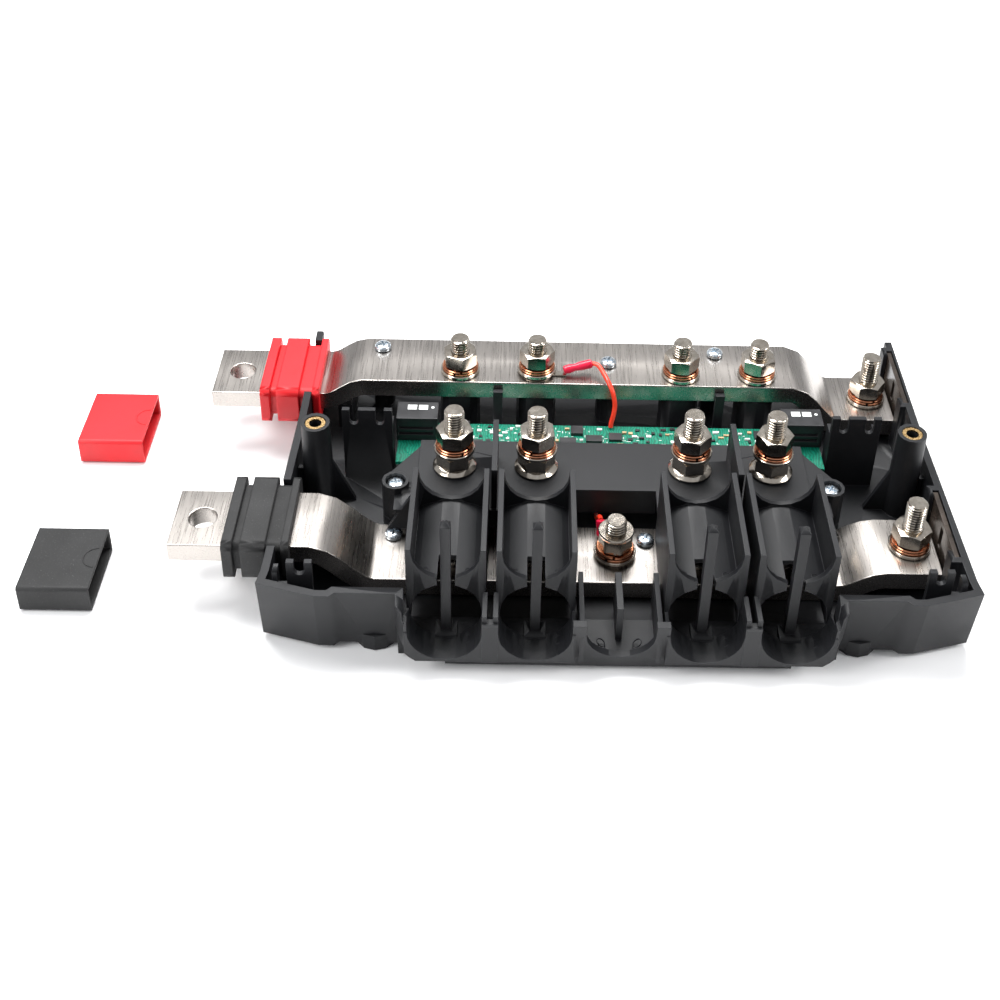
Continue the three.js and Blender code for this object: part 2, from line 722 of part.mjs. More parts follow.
function terminalCarrier() {
  const outerX = innerBayX + bayPitch + bayWidth / 2;
  const innerX = innerBayX - bayWidth / 2;
  const z0 = platformTop - platformThickness;
  const skirtHalf = innerX + 0.5;
  const skirtRear = platformCentreFrontY + 2;
  const skirtZ0 = platformTop - skirtDepth;
  const centreSkirt = box(-skirtHalf, skirtHalf, platformCentreFrontY, skirtRear, skirtZ0, platformTop);
  const parts = [
    box(-outerX, outerX, platformCentreFrontY, platformRearY, z0, platformTop),
    centreSkirt,
  ];
  for (const side of [-1, 1]) {
    const x0 = Math.min(side * innerX, side * outerX);
    const gapX = side * (innerBayX + bayPitch / 2);
    parts.push(box(x0, x0 + outerX - innerX, bayBackY - 0.5, platformCentreFrontY + 1, z0, platformTop));
    parts.push(box(gapX - 1.1, gapX + 1.1, bayBackY - 1, 6.7, z0, bayTop));
    parts.push(box(gapX - 3, gapX + 3, bayBackY - 2, bayBackY + 2, z0 - 6, platformTop));
    parts.push(rod(gapX, platformCentreFrontY + 0.5, boardPostRadius, floorZ + seatGap, platformTop));
    parts.push(ear(side));
  }
  parts.push(bayCentres.map((x) => rod(x, middleStudY, bossRadius, carrierFoot, platformTop - 0.5)));
  parts.push(bayCentres.map(bay));
  const headTop = carrierFoot + studHeadHeight * 2 + seatGap;
  return cut(
    join(parts),
    bayCentres.map((x) => rod(x, middleStudY, studBore, carrierFoot - 1, platformTop + 1, boltSides)),
    bayCentres.map((x) => rod(x, middleStudY, studHeadRadius + boltClearance, carrierFoot - 1, headTop)),
    [-1, 1].map((side) => rod(side * earX, earY, screwHeadRadius + 0.6, carrierScrewSeat, earTop + 1)),
    [-1, 1].map((side) => rod(side * earX, earY, screwBore, carrierFoot - 1, earTop, screwSides)),
  );
}

// Terminals
function stud(x, y, seat, rise, headBottom, headHeight) {
  const tip = 1;
  return join(
    rod(x, y, studHeadRadius, headBottom, headBottom + headHeight),
    rod(x, y, studRadius, headBottom + headHeight - 0.1, seat + rise - tip, boltSides),
    rod(x, y, studRadius - 0.8, seat + rise - tip - 0.01, seat + rise, boltSides, studRadius),
  );
}

function hexNut(x, y, z, turn) {
  const geometry = new THREE.CylinderGeometry(nutFlats / Math.sqrt(3), nutFlats / Math.sqrt(3), nutHeight, 6);
  geometry.rotateX(Math.PI / 2);
  geometry.rotateZ(turn);
  geometry.translate(x, y, z + nutHeight / 2);
  return cut(asSolid(geometry), rod(x, y, studBore, z - 1, z + nutHeight + 1, boltSides));
}

function flangeNutBody(x, y, z, turn, flangeUp, flats = nutFlats, collarRadius = flangeRadius) {
  const hex = new THREE.CylinderGeometry(flats / Math.sqrt(3), flats / Math.sqrt(3), flangeNutHeight, 6);
  hex.rotateX(Math.PI / 2);
  hex.rotateZ(turn);
  hex.translate(x, y, z + flangeNutHeight / 2);
  const flangeZ = flangeUp ? z + flangeNutHeight - flangeThickness : z;
  const flange = rod(x, y, collarRadius, flangeZ, flangeZ + flangeThickness, washerSides);
  return join(asSolid(hex), flange);
}

function washerPair(x, y, z) {
  const plain = rod(x, y, washerRadius, z, z + washerThickness, washerSides);
  const top = z + washerThickness + springWasherThickness;
  const spring = rod(x, y, springWasherRadius, z + washerThickness - 0.01, top, washerSides);
  return cut(join(plain, spring), rod(x, y, studBore, z - 1, top + 1, boltSides));
}

const washerStack = washerThickness + springWasherThickness;

function terminal(name, x, y, seat, rise, turn, lift) {
  const headBottom = seat - barThickness;
  const washers = seat + seatGap + lift;
  place(`${name}_stud`, stud(x, y, seat, rise, headBottom, studHeadHeight), nickel);
  place(`${name}_washers`, washerPair(x, y, washers), copperWasher);
  place(`${name}_nut`, hexNut(x, y, washers + washerStack + seatGap, turn), nickel);
}

function outputTerminal(number, x, turn) {
  const flangeNutZ = platformTop + seatGap;
  const looseGap = 0.8;
  const washers = flangeNutZ + flangeNutHeight + looseGap;
  const shaft = stud(x, middleStudY, platformTop, outputStudRise, carrierFoot, studHeadHeight * 2);
  const fixedNut = flangeNutBody(x, middleStudY, flangeNutZ, turn + 0.4, false);
  place(`output_${number}_stud`, join(shaft, fixedNut), nickel);
  place(`output_${number}_washers`, washerPair(x, middleStudY, washers), copperWasher);
  place(`output_${number}_nut`, hexNut(x, middleStudY, washers + washerStack + seatGap, turn), nickel);
}

// Under each output: a short stud of the negative bar with its nut run down onto it.
function returnTerminal(number, x) {
  const rise = tunnelAxisZ + tunnelRadius - 1.2 - loweredTop;
  const shaft = stud(x, negativeBarY, loweredTop, rise, loweredTop - barThickness, studHeadHeight);
  const base = loweredTop + seatGap;
  const washer = rod(x, negativeBarY, washerRadius, base, base + washerThickness, washerSides);
  const nut = flangeNutBody(x, negativeBarY, base + washerThickness - 0.01, number * 0.3, false);
  place(`return_${number}_stud`, join(shaft, washer, nut), nickel);
}

function panScrew(x, y, seat, length = screwLength) {
  const bottom = seat + seatGap;
  const shoulder = bottom + screwHeadHeight * 0.6; // the dome starts here
  const crown = bottom + screwHeadHeight;
  return join(
    rod(x, y, screwHeadRadius, bottom, shoulder, boltSides),
    rod(x, y, screwHeadRadius * 0.62, shoulder - 0.01, crown, boltSides, screwHeadRadius),
    rod(x, y, screwRadius, bottom - length, bottom + 0.1, screwSides),
  );
}

// Rubber parts
function grommet(y) {
  const z0 = leftEndTop - barThickness;
  function sleeve(x0, x1, out) {
    const corner = 3.4;
    const ring = roundedRectangle(
      y - barWidth / 2 - out,
      y + barWidth / 2 + out,
      z0 - out,
      leftEndTop + out,
      corner,
    );
    return rail(ring, x0, x1);
  }
  const wallInner = -sideX + wall;
  const body = join(
    sleeve(-sideX - 18.7, -sideX - 14.7, proud),
    sleeve(-sideX - 18.6, wallInner + 2, grooveProud),
    sleeve(-sideX - 11.8, 1 - wingX - slideGap, proud), // clear of the widest stretch of the side wall
    sleeve(wallInner + slideGap, wallInner + 3.2, proud),
  );
  const bore = box(
    -sideX - 20,
    wallInner + 5,
    y - barWidth / 2 - seatGap,
    y + barWidth / 2 + seatGap,
    z0 - seatGap,
    leftEndTop + seatGap,
  );
  return cut(body, bore);
}

function barCap(x, y) {
  const ring = roundedRectangle(y, y + capWidth, 0, capHeight, 1.6, 3);
  const pocket = box(
    x + capFloor,
    x + capLength + 1,
    y + capSideWall,
    y + capWidth - capSideWall,
    capFaceWall,
    capHeight - capFaceWall,
  );
  return cut(rail(ring, x, x + capLength), pocket);
}

// Circuit board, connectors and sense leads
function circuitBoard() {
  const outline = [
    [-boardHalfLength, boardFrontY],
    [boardHalfLength, boardFrontY],
    [boardHalfLength, boardRearY - 11],
    [boardEndX + 12, boardRearY],
    [-boardEndX - 12, boardRearY],
    [-boardHalfLength, boardRearY - 11],
  ];
  return prism(outline, boardTop - boardThickness, boardTop);
}

function dataConnector(side) {
  const x0 = side > 0 ? connectorInnerX : -connectorInnerX - connectorLength;
  const y0 = connectorRearY - connectorDepth;
  const z0 = boardTop + seatGap;
  const shell = box(x0, x0 + connectorLength, y0, connectorRearY, z0, z0 + connectorHeight);
  const grooveEnd = x0 + connectorLength - 2;
  const grooves = [3, 6].map((z) => box(x0 + 1, grooveEnd, y0 - 1, y0 + 1.2, z0 + z, z0 + z + 1.4));
  return cut(shell, grooves);
}

// Thin red leads, each with a crimped ring under one terminal's washers and its other end at the board.
const lugThickness = 0.8;
const lugRadius = 7;
const crimpRadius = 2;
const leadRadius = 1;
const leadSides = 8;
const senseStudX = -innerBayX;
const positiveSenseRoute = [
  [-7.3, 53.2, 41.6],
  [-4.6, 51.4, 41.6],
  [-2.4, 47.6, 40.2],
  [-0.6, 43.6, 38.9],
  [0.9, 40.9, 36.8],
  [1.9, 39.4, 33.6],
  [2.3, 38.4, 30.4],
  [1.9, 37.2, 26.6],
  [1.1, 36.2, 23.2],
  [0.9, 35.6, 21.2],
];
const negativeSenseRoute = [
  [-5.2, -19.6, 19.8],
  [-5.6, -16.6, 18.6],
  [-6.2, -12, 13.6],
  [-6.6, -3, 12],
  [-6.6, 6, 12],
  [-6.2, 14, 12.6],
  [-5.4, 20.4, 15.4],
  [-5, 23, 18.2],
];

function alongPath(path, radius, sides, steps) {
  const ring = [];
  for (let side = 0; side < sides; side += 1) {
    const angle = (side / sides) * Math.PI * 2;
    ring.push([radius * Math.cos(angle), radius * Math.sin(angle)]);
  }
  return asSolid(new THREE.ExtrudeGeometry(shapeOf(ring), { steps, bevelEnabled: false, extrudePath: path }));
}

function tube(points, radius, sides, steps) {
  const curve = new THREE.CatmullRomCurve3(points.map(([x, y, z]) => new THREE.Vector3(x, y, z)));
  return alongPath(curve, radius, sides, steps);
}

function straightTube(from, to, radius, sides) {
  const path = new THREE.LineCurve3(new THREE.Vector3(...from), new THREE.Vector3(...to));
  return alongPath(path, radius, sides, 1);
}

function senseLead(ringX, ringY, seat, tongue, crimpStart, route) {
  const z = seat + seatGap;
  const ring = cut(
    join(rod(ringX, ringY, lugRadius, z, z + lugThickness, washerSides), box(...tongue, z, z + lugThickness)),
    rod(ringX, ringY, studBore, z - 1, z + 2, boltSides),
  );
  return join(
    ring,
    straightTube(crimpStart, route[0], crimpRadius, 10),
    tube(route, leadRadius, leadSides, 18),
  );
}

// Blank plate in the right wall, pulled up and out when the next box is joined on.
function blankPlate(y) {
  const x0 = sideX - wall - slideGap + 0.1;
  const plate = box(x0, x0 + plateThickness, y - plateWidth / 2, y + plateWidth / 2, plateBottom, rimZ - 0.6);
  const thumbSlot = box(x0 - 1, x0 + 1, y - 1.6, y + 1.6, 20, 29);
  return cut(plate, thumbSlot);
}

place("base_tray", baseTray(), blackPlastic);
place("terminal_carrier", terminalCarrier(), blackPlastic);
place("positive_busbar", positiveBusbar(), tinnedCopper);
place("negative_busbar", negativeBusbar(), tinnedCopper);
place("positive_grommet", grommet(positiveBarY), redRubber);
place("negative_grommet", grommet(negativeBarY), blackRubber);
place("positive_end_cap", barCap(redCapX, redCapY), redRubber);
place("negative_end_cap", barCap(blackCapX, blackCapY), blackRubber);
place("circuit_board", circuitBoard(), boardGreen);
place("data_connector_left", dataConnector(-1), blackPlastic);
place("data_connector_right", dataConnector(1), blackPlastic);
place("blank_plate_rear", blankPlate(positiveBarY), plateGrey);
place("blank_plate_front", blankPlate(negativeBarY), plateGrey);

const rearTurns = [0.15, 0.5, 0.35, 0.05];
const outputTurns = [0.42, 0.1, 0.3, 0.5];
bayCentres.forEach((x, index) => {
  const lift = x === senseStudX ? lugThickness + seatGap : 0;
  terminal(`fuse_${index + 1}`, x, rearStudY, raisedTop, rearStudRise, rearTurns[index], lift);
  outputTerminal(index + 1, x, outputTurns[index]);
  returnTerminal(index + 1, x);
});
terminal("positive_link", linkStudX, positiveBarY, rightEndTop, linkStudRise, 0.4, 0);
terminal("negative_link", linkStudX, negativeBarY, rightEndTop, linkStudRise, 0.2, 0);

const centreLift = lugThickness + seatGap;
const centreWashersZ = loweredTop + seatGap + centreLift;
const centreNutZ = centreWashersZ + washerStack + seatGap;
const centreNut = cut(
  flangeNutBody(0, negativeBarY, centreNutZ, 0.3, true, centreNutFlats, centreCollarRadius),
  rod(0, negativeBarY, studBore, 0, 60, boltSides),
);
place(
  "centre_stud",
  stud(0, negativeBarY, loweredTop, centreStudRise, loweredTop - barThickness, studHeadHeight),
  nickel,
);
place("centre_washers", washerPair(0, negativeBarY, centreWashersZ), copperWasher);
place("centre_nut", centreNut, nickel);

const positiveTongue = [-26, -18.4, 49.4, 53.4]; // low and high X, low and high Y of the ring's flat tail
const positiveCrimpStart = [-19.6, 51.2, 39.1];
const negativeTongue = [-6.6, -2.4, -28, -21.4];
const negativeCrimpStart = [-4.9, -22.7, 14.1];
place(
  "positive_sense_lead",
  senseLead(senseStudX, rearStudY, raisedTop, positiveTongue, positiveCrimpStart, positiveSenseRoute),
  wireRed,
);
place(
  "negative_sense_lead",
  senseLead(0, negativeBarY, loweredTop, negativeTongue, negativeCrimpStart, negativeSenseRoute),
  wireRed,
);

positiveScrews.forEach(([x, y], index) => {
  place(`positive_bar_screw_${index + 1}`, panScrew(x, y, raisedTop), zinc);
});
negativeScrews.forEach(([x, y], index) => {
  place(`negative_bar_screw_${index + 1}`, panScrew(x, y, loweredTop), zinc);
});
place("carrier_screw_left", panScrew(-earX, earY, carrierScrewSeat, carrierScrewLength), zinc);
place("carrier_screw_right", panScrew(earX, earY, carrierScrewSeat, carrierScrewLength), zinc);

export default object;
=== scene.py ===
import json
import math
import random
import bpy
import bmesh
from mathutils import Matrix, Vector


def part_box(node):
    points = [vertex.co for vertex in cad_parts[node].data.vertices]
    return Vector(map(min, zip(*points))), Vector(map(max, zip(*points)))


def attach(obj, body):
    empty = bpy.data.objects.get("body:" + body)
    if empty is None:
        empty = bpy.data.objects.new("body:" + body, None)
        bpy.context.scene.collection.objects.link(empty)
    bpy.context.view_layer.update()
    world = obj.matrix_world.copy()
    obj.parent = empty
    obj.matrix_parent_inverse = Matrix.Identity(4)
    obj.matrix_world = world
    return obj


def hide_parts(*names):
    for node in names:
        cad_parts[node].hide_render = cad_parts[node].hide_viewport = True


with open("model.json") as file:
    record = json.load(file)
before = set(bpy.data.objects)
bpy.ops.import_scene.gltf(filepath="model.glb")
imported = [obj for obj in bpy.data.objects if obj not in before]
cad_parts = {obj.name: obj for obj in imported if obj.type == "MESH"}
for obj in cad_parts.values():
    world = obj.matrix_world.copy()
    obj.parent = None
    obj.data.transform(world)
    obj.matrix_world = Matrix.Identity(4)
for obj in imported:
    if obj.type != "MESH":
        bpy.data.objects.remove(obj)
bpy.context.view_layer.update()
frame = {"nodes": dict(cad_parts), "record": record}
mm = 0.001
nodes = frame["nodes"]
bodyOf = {node: body for body, held in frame["record"]["behaviour"]["bodies"].items() for node in held}
print("frame loaded:", len(nodes), "pieces")

# How deep each fine relief is, in metres.
reliefDepth = {"moulding": 0.00012, "metal": 0.00008, "tracks": 0.00005}
dustLook = {"scale": 2300, "from": 0.64, "to": 0.7, "colour": (0.3, 0.3, 0.3)}


def startMaterial(name):
    material = bpy.data.materials.new(name)
    material.use_nodes = True
    tree = material.node_tree
    shader = tree.nodes["Principled BSDF"]
    place = tree.nodes.new("ShaderNodeTexCoord").outputs["Object"]
    return material, tree, shader, place


def stretched(tree, place, scale):
    mapping = tree.nodes.new("ShaderNodeMapping")
    mapping.inputs["Scale"].default_value = scale
    tree.links.new(place, mapping.inputs["Vector"])
    return mapping.outputs["Vector"]


def grainOf(tree, place, scale, detail=4.0, rough=0.55):
    noise = tree.nodes.new("ShaderNodeTexNoise")
    noise.inputs["Scale"].default_value = scale
    noise.inputs["Detail"].default_value = detail
    noise.inputs["Roughness"].default_value = rough
    tree.links.new(place, noise.inputs["Vector"])
    return noise.outputs["Fac"]


def ramp(tree, source, stops):
    node = tree.nodes.new("ShaderNodeValToRGB")
    band = node.color_ramp
    band.elements[0].position, band.elements[0].color = stops[0][0], (*stops[0][1], 1)
    band.elements[1].position, band.elements[1].color = stops[-1][0], (*stops[-1][1], 1)
    for position, colour in stops[1:-1]:
        band.elements.new(position).color = (*colour, 1)
    tree.links.new(source, node.inputs["Fac"])
    return node.outputs["Color"]


def spread(tree, source, low, high):
    node = tree.nodes.new("ShaderNodeMapRange")
    node.inputs["From Min"].default_value = 0.3
    node.inputs["From Max"].default_value = 0.7
    node.inputs["To Min"].default_value = low
    node.inputs["To Max"].default_value = high
    tree.links.new(source, node.inputs["Value"])
    return node.outputs["Result"]


def blendColours(tree, amount, first, second):
    node = tree.nodes.new("ShaderNodeMix")
    node.data_type = "RGBA"
    for value, socket in ((amount, 0), (first, 6), (second, 7)):
        if isinstance(value, bpy.types.NodeSocket):
            tree.links.new(value, node.inputs[socket])
        else:
            node.inputs[socket].default_value = value if socket == 0 else (*value, 1)
    return node.outputs[2]


# Rounds the look of an edge, so that a moulded corner catches the light.
def roundedNormal(tree, radius):
    rounded = tree.nodes.new("ShaderNodeBevel")
    rounded.samples = 6
    rounded.inputs["Radius"].default_value = radius
    return rounded.outputs["Normal"]


# One along edges, nothing on flat faces.
def alongEdges(tree, normal, amount):
    facing = tree.nodes.new("ShaderNodeVectorMath")
    facing.operation = "DOT_PRODUCT"
    tree.links.new(normal, facing.inputs[0])
    tree.links.new(tree.nodes.new("ShaderNodeNewGeometry").outputs["Normal"], facing.inputs[1])
    mask = tree.nodes.new("ShaderNodeMapRange")
    mask.inputs["From Min"].default_value = 0.86
    mask.inputs["From Max"].default_value = 0.995
    mask.inputs["To Min"].default_value = amount
    mask.inputs["To Max"].default_value = 0
    tree.links.new(facing.outputs["Value"], mask.inputs["Value"])
    return mask.outputs["Result"]


def raiseGrain(tree, shader, height, strength, distance, normal=None):
    bump = tree.nodes.new("ShaderNodeBump")
    if normal:
        tree.links.new(normal, bump.inputs["Normal"])
    bump.inputs["Strength"].default_value = strength
    bump.inputs["Distance"].default_value = distance
    tree.links.new(height, bump.inputs["Height"])
    tree.links.new(bump.outputs["Normal"], shader.inputs["Normal"])


# A moulded or rubber surface: mottled colour, a fine skin, and edges rubbed paler.
def mouldedSkin(name, settings):
    material, tree, shader, place = startMaterial(name)
    mottle = grainOf(tree, place, settings["mottleScale"], 5)
    colour = ramp(tree, mottle, [(0.3, settings["dark"]), (0.7, settings["light"])])
    rounded = roundedNormal(tree, settings["edgeRadius"])
    colour = blendColours(tree, alongEdges(tree, rounded, settings["edgeWear"]), colour, settings["edge"])
    if settings.get("dust"):
        dots = grainOf(tree, place, dustLook["scale"], 2)
        specks = ramp(tree, dots, [(dustLook["from"], (0, 0, 0)), (dustLook["to"], (1, 1, 1))])
        amount = tree.nodes.new("ShaderNodeMath")
        amount.operation = "MULTIPLY"
        amount.inputs[1].default_value = settings["dust"]
        tree.links.new(specks, amount.inputs[0])
        colour = blendColours(tree, amount.outputs[0], colour, dustLook["colour"])
    tree.links.new(colour, shader.inputs["Base Color"])
    tree.links.new(spread(tree, mottle, *settings["roughness"]), shader.inputs["Roughness"])
    shader.inputs["Specular IOR Level"].default_value = settings.get("gloss", 0.5)
    skin = grainOf(tree, place, settings["skinScale"], 3)
    raiseGrain(tree, shader, skin, settings["skin"], reliefDepth["moulding"], rounded)
    return material


# Plated or tinned metal. A small number along one axis of grain runs the brush lines that way.
def platedMetal(name, settings):
    material, tree, shader, place = startMaterial(name)
    brush = grainOf(tree, stretched(tree, place, settings["grain"]), settings["grainScale"], 6, 0.65)
    smudge = grainOf(tree, place, settings["smudgeScale"], 4)
    tone = ramp(tree, brush, [(0.3, settings["dark"]), (0.7, settings["light"])])
    stain = ramp(tree, smudge, [(0.42, (0, 0, 0)), (0.72, (1, 1, 1))])
    scaled = tree.nodes.new("ShaderNodeMath")
    scaled.operation = "MULTIPLY"
    scaled.inputs[1].default_value = settings["stainAmount"]
    tree.links.new(stain, scaled.inputs[0])
    colour = blendColours(tree, scaled.outputs[0], tone, settings["stain"])
    # Painted shade: where the surface is hollow, as in thread roots and washer gaps, the colour is darkened
    # towards the given shade colour.
    if settings.get("hollowShade"):
        hollow = tree.nodes.new("ShaderNodeNewGeometry").outputs["Pointiness"]
        hollowShade = ramp(tree, hollow, [(0.4, (1, 1, 1)), (0.5, (0, 0, 0))])
        colour = blendColours(tree, hollowShade, colour, settings["hollowShade"])
    tree.links.new(colour, shader.inputs["Base Color"])
    tree.links.new(spread(tree, brush, *settings["roughness"]), shader.inputs["Roughness"])
    shader.inputs["Metallic"].default_value = 1
    shader.inputs["Anisotropic"].default_value = settings["anisotropic"]
    raiseGrain(tree, shader, brush, settings["bump"], reliefDepth["metal"])
    return material


# Solder mask with faint tracks under it.
def boardMask(name):
    material, tree, shader, place = startMaterial(name)
    tracks = tree.nodes.new("ShaderNodeTexWave")
    tracks.inputs["Scale"].default_value = 260
    tracks.inputs["Distortion"].default_value = 9
    tracks.inputs["Detail"].default_value = 1
    tree.links.new(place, tracks.inputs["Vector"])
    colour = ramp(tree, tracks.outputs["Fac"], [(0.45, (0.0, 0.11, 0.065)), (0.6, (0.004, 0.2, 0.125))])
    tree.links.new(colour, shader.inputs["Base Color"])
    tree.links.new(spread(tree, grainOf(tree, place, 400), 0.25, 0.42), shader.inputs["Roughness"])
    raiseGrain(tree, shader, tracks.outputs["Fac"], 0.2, reliefDepth["tracks"])
    return material


blackMoulding = mouldedSkin("blackMoulding", {
    "dark": (0.0052, 0.0056, 0.0068), "light": (0.0085, 0.0089, 0.0105), "edge": (0.05, 0.052, 0.058),
    "edgeRadius": 0.00035, "edgeWear": 0.5, "mottleScale": 40,
    "skinScale": 2600, "skin": 0.3, "roughness": (0.42, 0.56), "gloss": 0.34})
connectorMoulding = mouldedSkin("connectorMoulding", {
    "dark": (0.009, 0.009, 0.01), "light": (0.016, 0.016, 0.018), "edge": (0.05, 0.05, 0.055),
    "edgeRadius": 0.0003, "edgeWear": 0.5, "mottleScale": 140,
    "skinScale": 3000, "skin": 0.2, "roughness": (0.3, 0.45)})
redRubber = mouldedSkin("redRubber", {
    "dark": (0.5, 0.0012, 0.005), "light": (0.64, 0.0028, 0.009), "edge": (0.85, 0.035, 0.04),
    "edgeRadius": 0.0005, "edgeWear": 0.35, "mottleScale": 60,
    "skinScale": 1900, "skin": 0.25, "roughness": (0.46, 0.6)})
blackRubber = mouldedSkin("blackRubber", {
    "dark": (0.005, 0.005, 0.0054), "light": (0.009, 0.009, 0.0092), "edge": (0.035, 0.035, 0.036),
    "edgeRadius": 0.0005, "edgeWear": 0.35, "mottleScale": 60,
    "skinScale": 1700, "skin": 0.4, "roughness": (0.6, 0.76), "dust": 0.1})
leadInsulation = mouldedSkin("leadInsulation", {
    "dark": (0.72, 0.035, 0.014), "light": (0.86, 0.06, 0.025), "edge": (0.95, 0.2, 0.12),
    "edgeRadius": 0.0002, "edgeWear": 0.3, "mottleScale": 200,
    "skinScale": 2400, "skin": 0.1, "roughness": (0.28, 0.4)})
crimpSleeve = mouldedSkin("crimpSleeve", {
    "dark": (0.5, 0.004, 0.03), "light": (0.68, 0.008, 0.05), "edge": (0.9, 0.15, 0.2),
    "edgeRadius": 0.0002, "edgeWear": 0.4, "mottleScale": 200,
    "skinScale": 2400, "skin": 0.1, "roughness": (0.25, 0.35)})
gatePlate = mouldedSkin("gatePlate", {
    "dark": (0.02, 0.016, 0.013), "light": (0.05, 0.038, 0.03), "edge": (0.11, 0.09, 0.075),
    "edgeRadius": 0.0003, "edgeWear": 0.5, "mottleScale": 90,
    "skinScale": 2200, "skin": 0.12, "roughness": (0.16, 0.3)})
tinnedBar = platedMetal("tinnedBar", {
    "grain": (1, 0.03, 1), "grainScale": 1500, "dark": (0.37, 0.345, 0.32), "light": (0.45, 0.42, 0.395),
    "smudgeScale": 22, "stain": (0.54, 0.5, 0.46), "stainAmount": 0.4, "roughness": (0.24, 0.34),
    "anisotropic": 0.3, "bump": 0.012})
nickelPlate = platedMetal("nickelPlate", {
    "grain": (1, 1, 0.4), "grainScale": 500, "dark": (0.5, 0.45, 0.385), "light": (0.66, 0.61, 0.54),
    "smudgeScale": 90, "stain": (0.4, 0.32, 0.25), "stainAmount": 0.3, "roughness": (0.13, 0.22),
    "anisotropic": 0.0, "bump": 0.02, "hollowShade": (0.03, 0.026, 0.022)})
copperPlate = platedMetal("copperPlate", {
    "grain": (1, 1, 0.5), "grainScale": 700, "dark": (0.55, 0.2, 0.1), "light": (0.8, 0.38, 0.22),
    "smudgeScale": 120, "stain": (0.3, 0.1, 0.05), "stainAmount": 0.35, "roughness": (0.16, 0.28),
    "anisotropic": 0.0, "bump": 0.03, "hollowShade": (0.06, 0.02, 0.01)})
zincPlate = platedMetal("zincPlate", {
    "grain": (1, 1, 1), "grainScale": 1100, "dark": (0.52, 0.58, 0.64), "light": (0.76, 0.82, 0.88),
    "smudgeScale": 300, "stain": (0.5, 0.55, 0.5), "stainAmount": 0.25, "roughness": (0.18, 0.34),
    "anisotropic": 0.0, "bump": 0.1})
brassInsertMetal = platedMetal("brassInsertMetal", {
    "grain": (1, 1, 1), "grainScale": 1300, "dark": (0.55, 0.34, 0.13), "light": (0.85, 0.6, 0.3),
    "smudgeScale": 260, "stain": (0.4, 0.24, 0.1), "stainAmount": 0.3, "roughness": (0.2, 0.36),
    "anisotropic": 0.0, "bump": 0.12})
boardGreen = boardMask("boardGreen")
whiteInk = mouldedSkin("whiteInk", {
    "dark": (0.62, 0.65, 0.62), "light": (0.8, 0.82, 0.8), "edge": (0.9, 0.9, 0.9),
    "edgeRadius": 5e-05, "edgeWear": 0.1, "mottleScale": 500,
    "skinScale": 2600, "skin": 0.1, "roughness": (0.45, 0.6)})
tanCeramic = mouldedSkin("tanCeramic", {
    "dark": (0.36, 0.24, 0.13), "light": (0.52, 0.36, 0.2), "edge": (0.62, 0.5, 0.36),
    "edgeRadius": 0.0001, "edgeWear": 0.2, "mottleScale": 700,
    "skinScale": 2600, "skin": 0.1, "roughness": (0.35, 0.5)})
print("materials ready")


def addPiece(name, mesh, body, materials, stands=()):
    piece = bpy.data.objects.new(name, mesh)
    bpy.context.scene.collection.objects.link(piece)
    for material in materials:
        mesh.materials.append(material)
    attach(piece, body)
    if stands:
        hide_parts(*stands)
    return piece


# Sharp only where two faces meet steeply, and flat faces keep flat light.
def smoothFaces(piece, sharpAngle=32):
    mesh = piece.data
    mesh.shade_smooth()
    mesh.set_sharp_from_angle(angle=math.radians(sharpAngle))
    weighted = piece.modifiers.new("evenLight", "WEIGHTED_NORMAL")
    weighted.keep_sharp = True
    return piece


# Welds are in metres, angles in degrees, and only edges longer than shortest are broken.
softening = {"weld": 2e-6, "flatAngle": 0.6, "steepAngle": 34, "shortest": 1.6, "seamWeld": 1e-6}


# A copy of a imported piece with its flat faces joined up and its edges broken.
def softenedCopy(node, name, material, edge, segments, sharpAngle):
    work = bmesh.new()
    work.from_mesh(nodes[node].data)
    bmesh.ops.remove_doubles(work, verts=work.verts, dist=softening["weld"])
    flatAngle, steepAngle = (math.radians(softening[key]) for key in ("flatAngle", "steepAngle"))
    bmesh.ops.dissolve_limit(work, angle_limit=flatAngle, verts=work.verts, edges=work.edges)
    steep = [e for e in work.edges if len(e.link_faces) == 2 and e.calc_face_angle(0) > steepAngle
             and e.calc_length() > softening["shortest"] * mm]
    if edge:
        bmesh.ops.bevel(work, geom=steep, offset=edge * mm, offset_type="OFFSET", segments=segments,
                        profile=0.5, affect="EDGES", clamp_overlap=False)
    bmesh.ops.remove_doubles(work, verts=work.verts, dist=softening["seamWeld"])
    bmesh.ops.triangulate(work, faces=[f for f in work.faces if len(f.verts) > 4])
    mesh = bpy.data.meshes.new(name)
    work.to_mesh(mesh)
    work.free()
    return smoothFaces(addPiece(name, mesh, bodyOf[node], [material], [node]), sharpAngle)


# Rings of points round an upright axis, each a list of (radius, height), joined into one skin.
def ringStack(work, centre, rings, turn=0.0, loop=False):
    sides = len(rings[0])
    rows = []
    for ring in rings:
        row = []
        for side, (radius, z) in enumerate(ring):
            angle = turn + 2 * math.pi * side / sides
            row.append(work.verts.new(((centre[0] + radius * math.cos(angle)) * mm,
                                       (centre[1] + radius * math.sin(angle)) * mm, z * mm)))
        rows.append(row)
    pairs = list(zip(rows, rows[1:])) + ([(rows[-1], rows[0])] if loop else [])
    for lower, upper in pairs:
        for side in range(sides):
            after = (side + 1) % sides
            work.faces.new((lower[side], lower[after], upper[after], upper[side]))
    if not loop:
        work.faces.new(list(reversed(rows[0])))
        work.faces.new(rows[-1])


def even(radius, z, sides):
    return [(radius, z)] * sides


def closeMesh(work, name):
    bmesh.ops.recalc_face_normals(work, faces=work.faces)
    mesh = bpy.data.meshes.new(name)
    work.to_mesh(mesh)
    work.free()
    return mesh


def boxPlace(node):
    low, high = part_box(node)
    middle = (low + high) / 2
    return (middle.x / mm, middle.y / mm), low.z / mm, high.z / mm


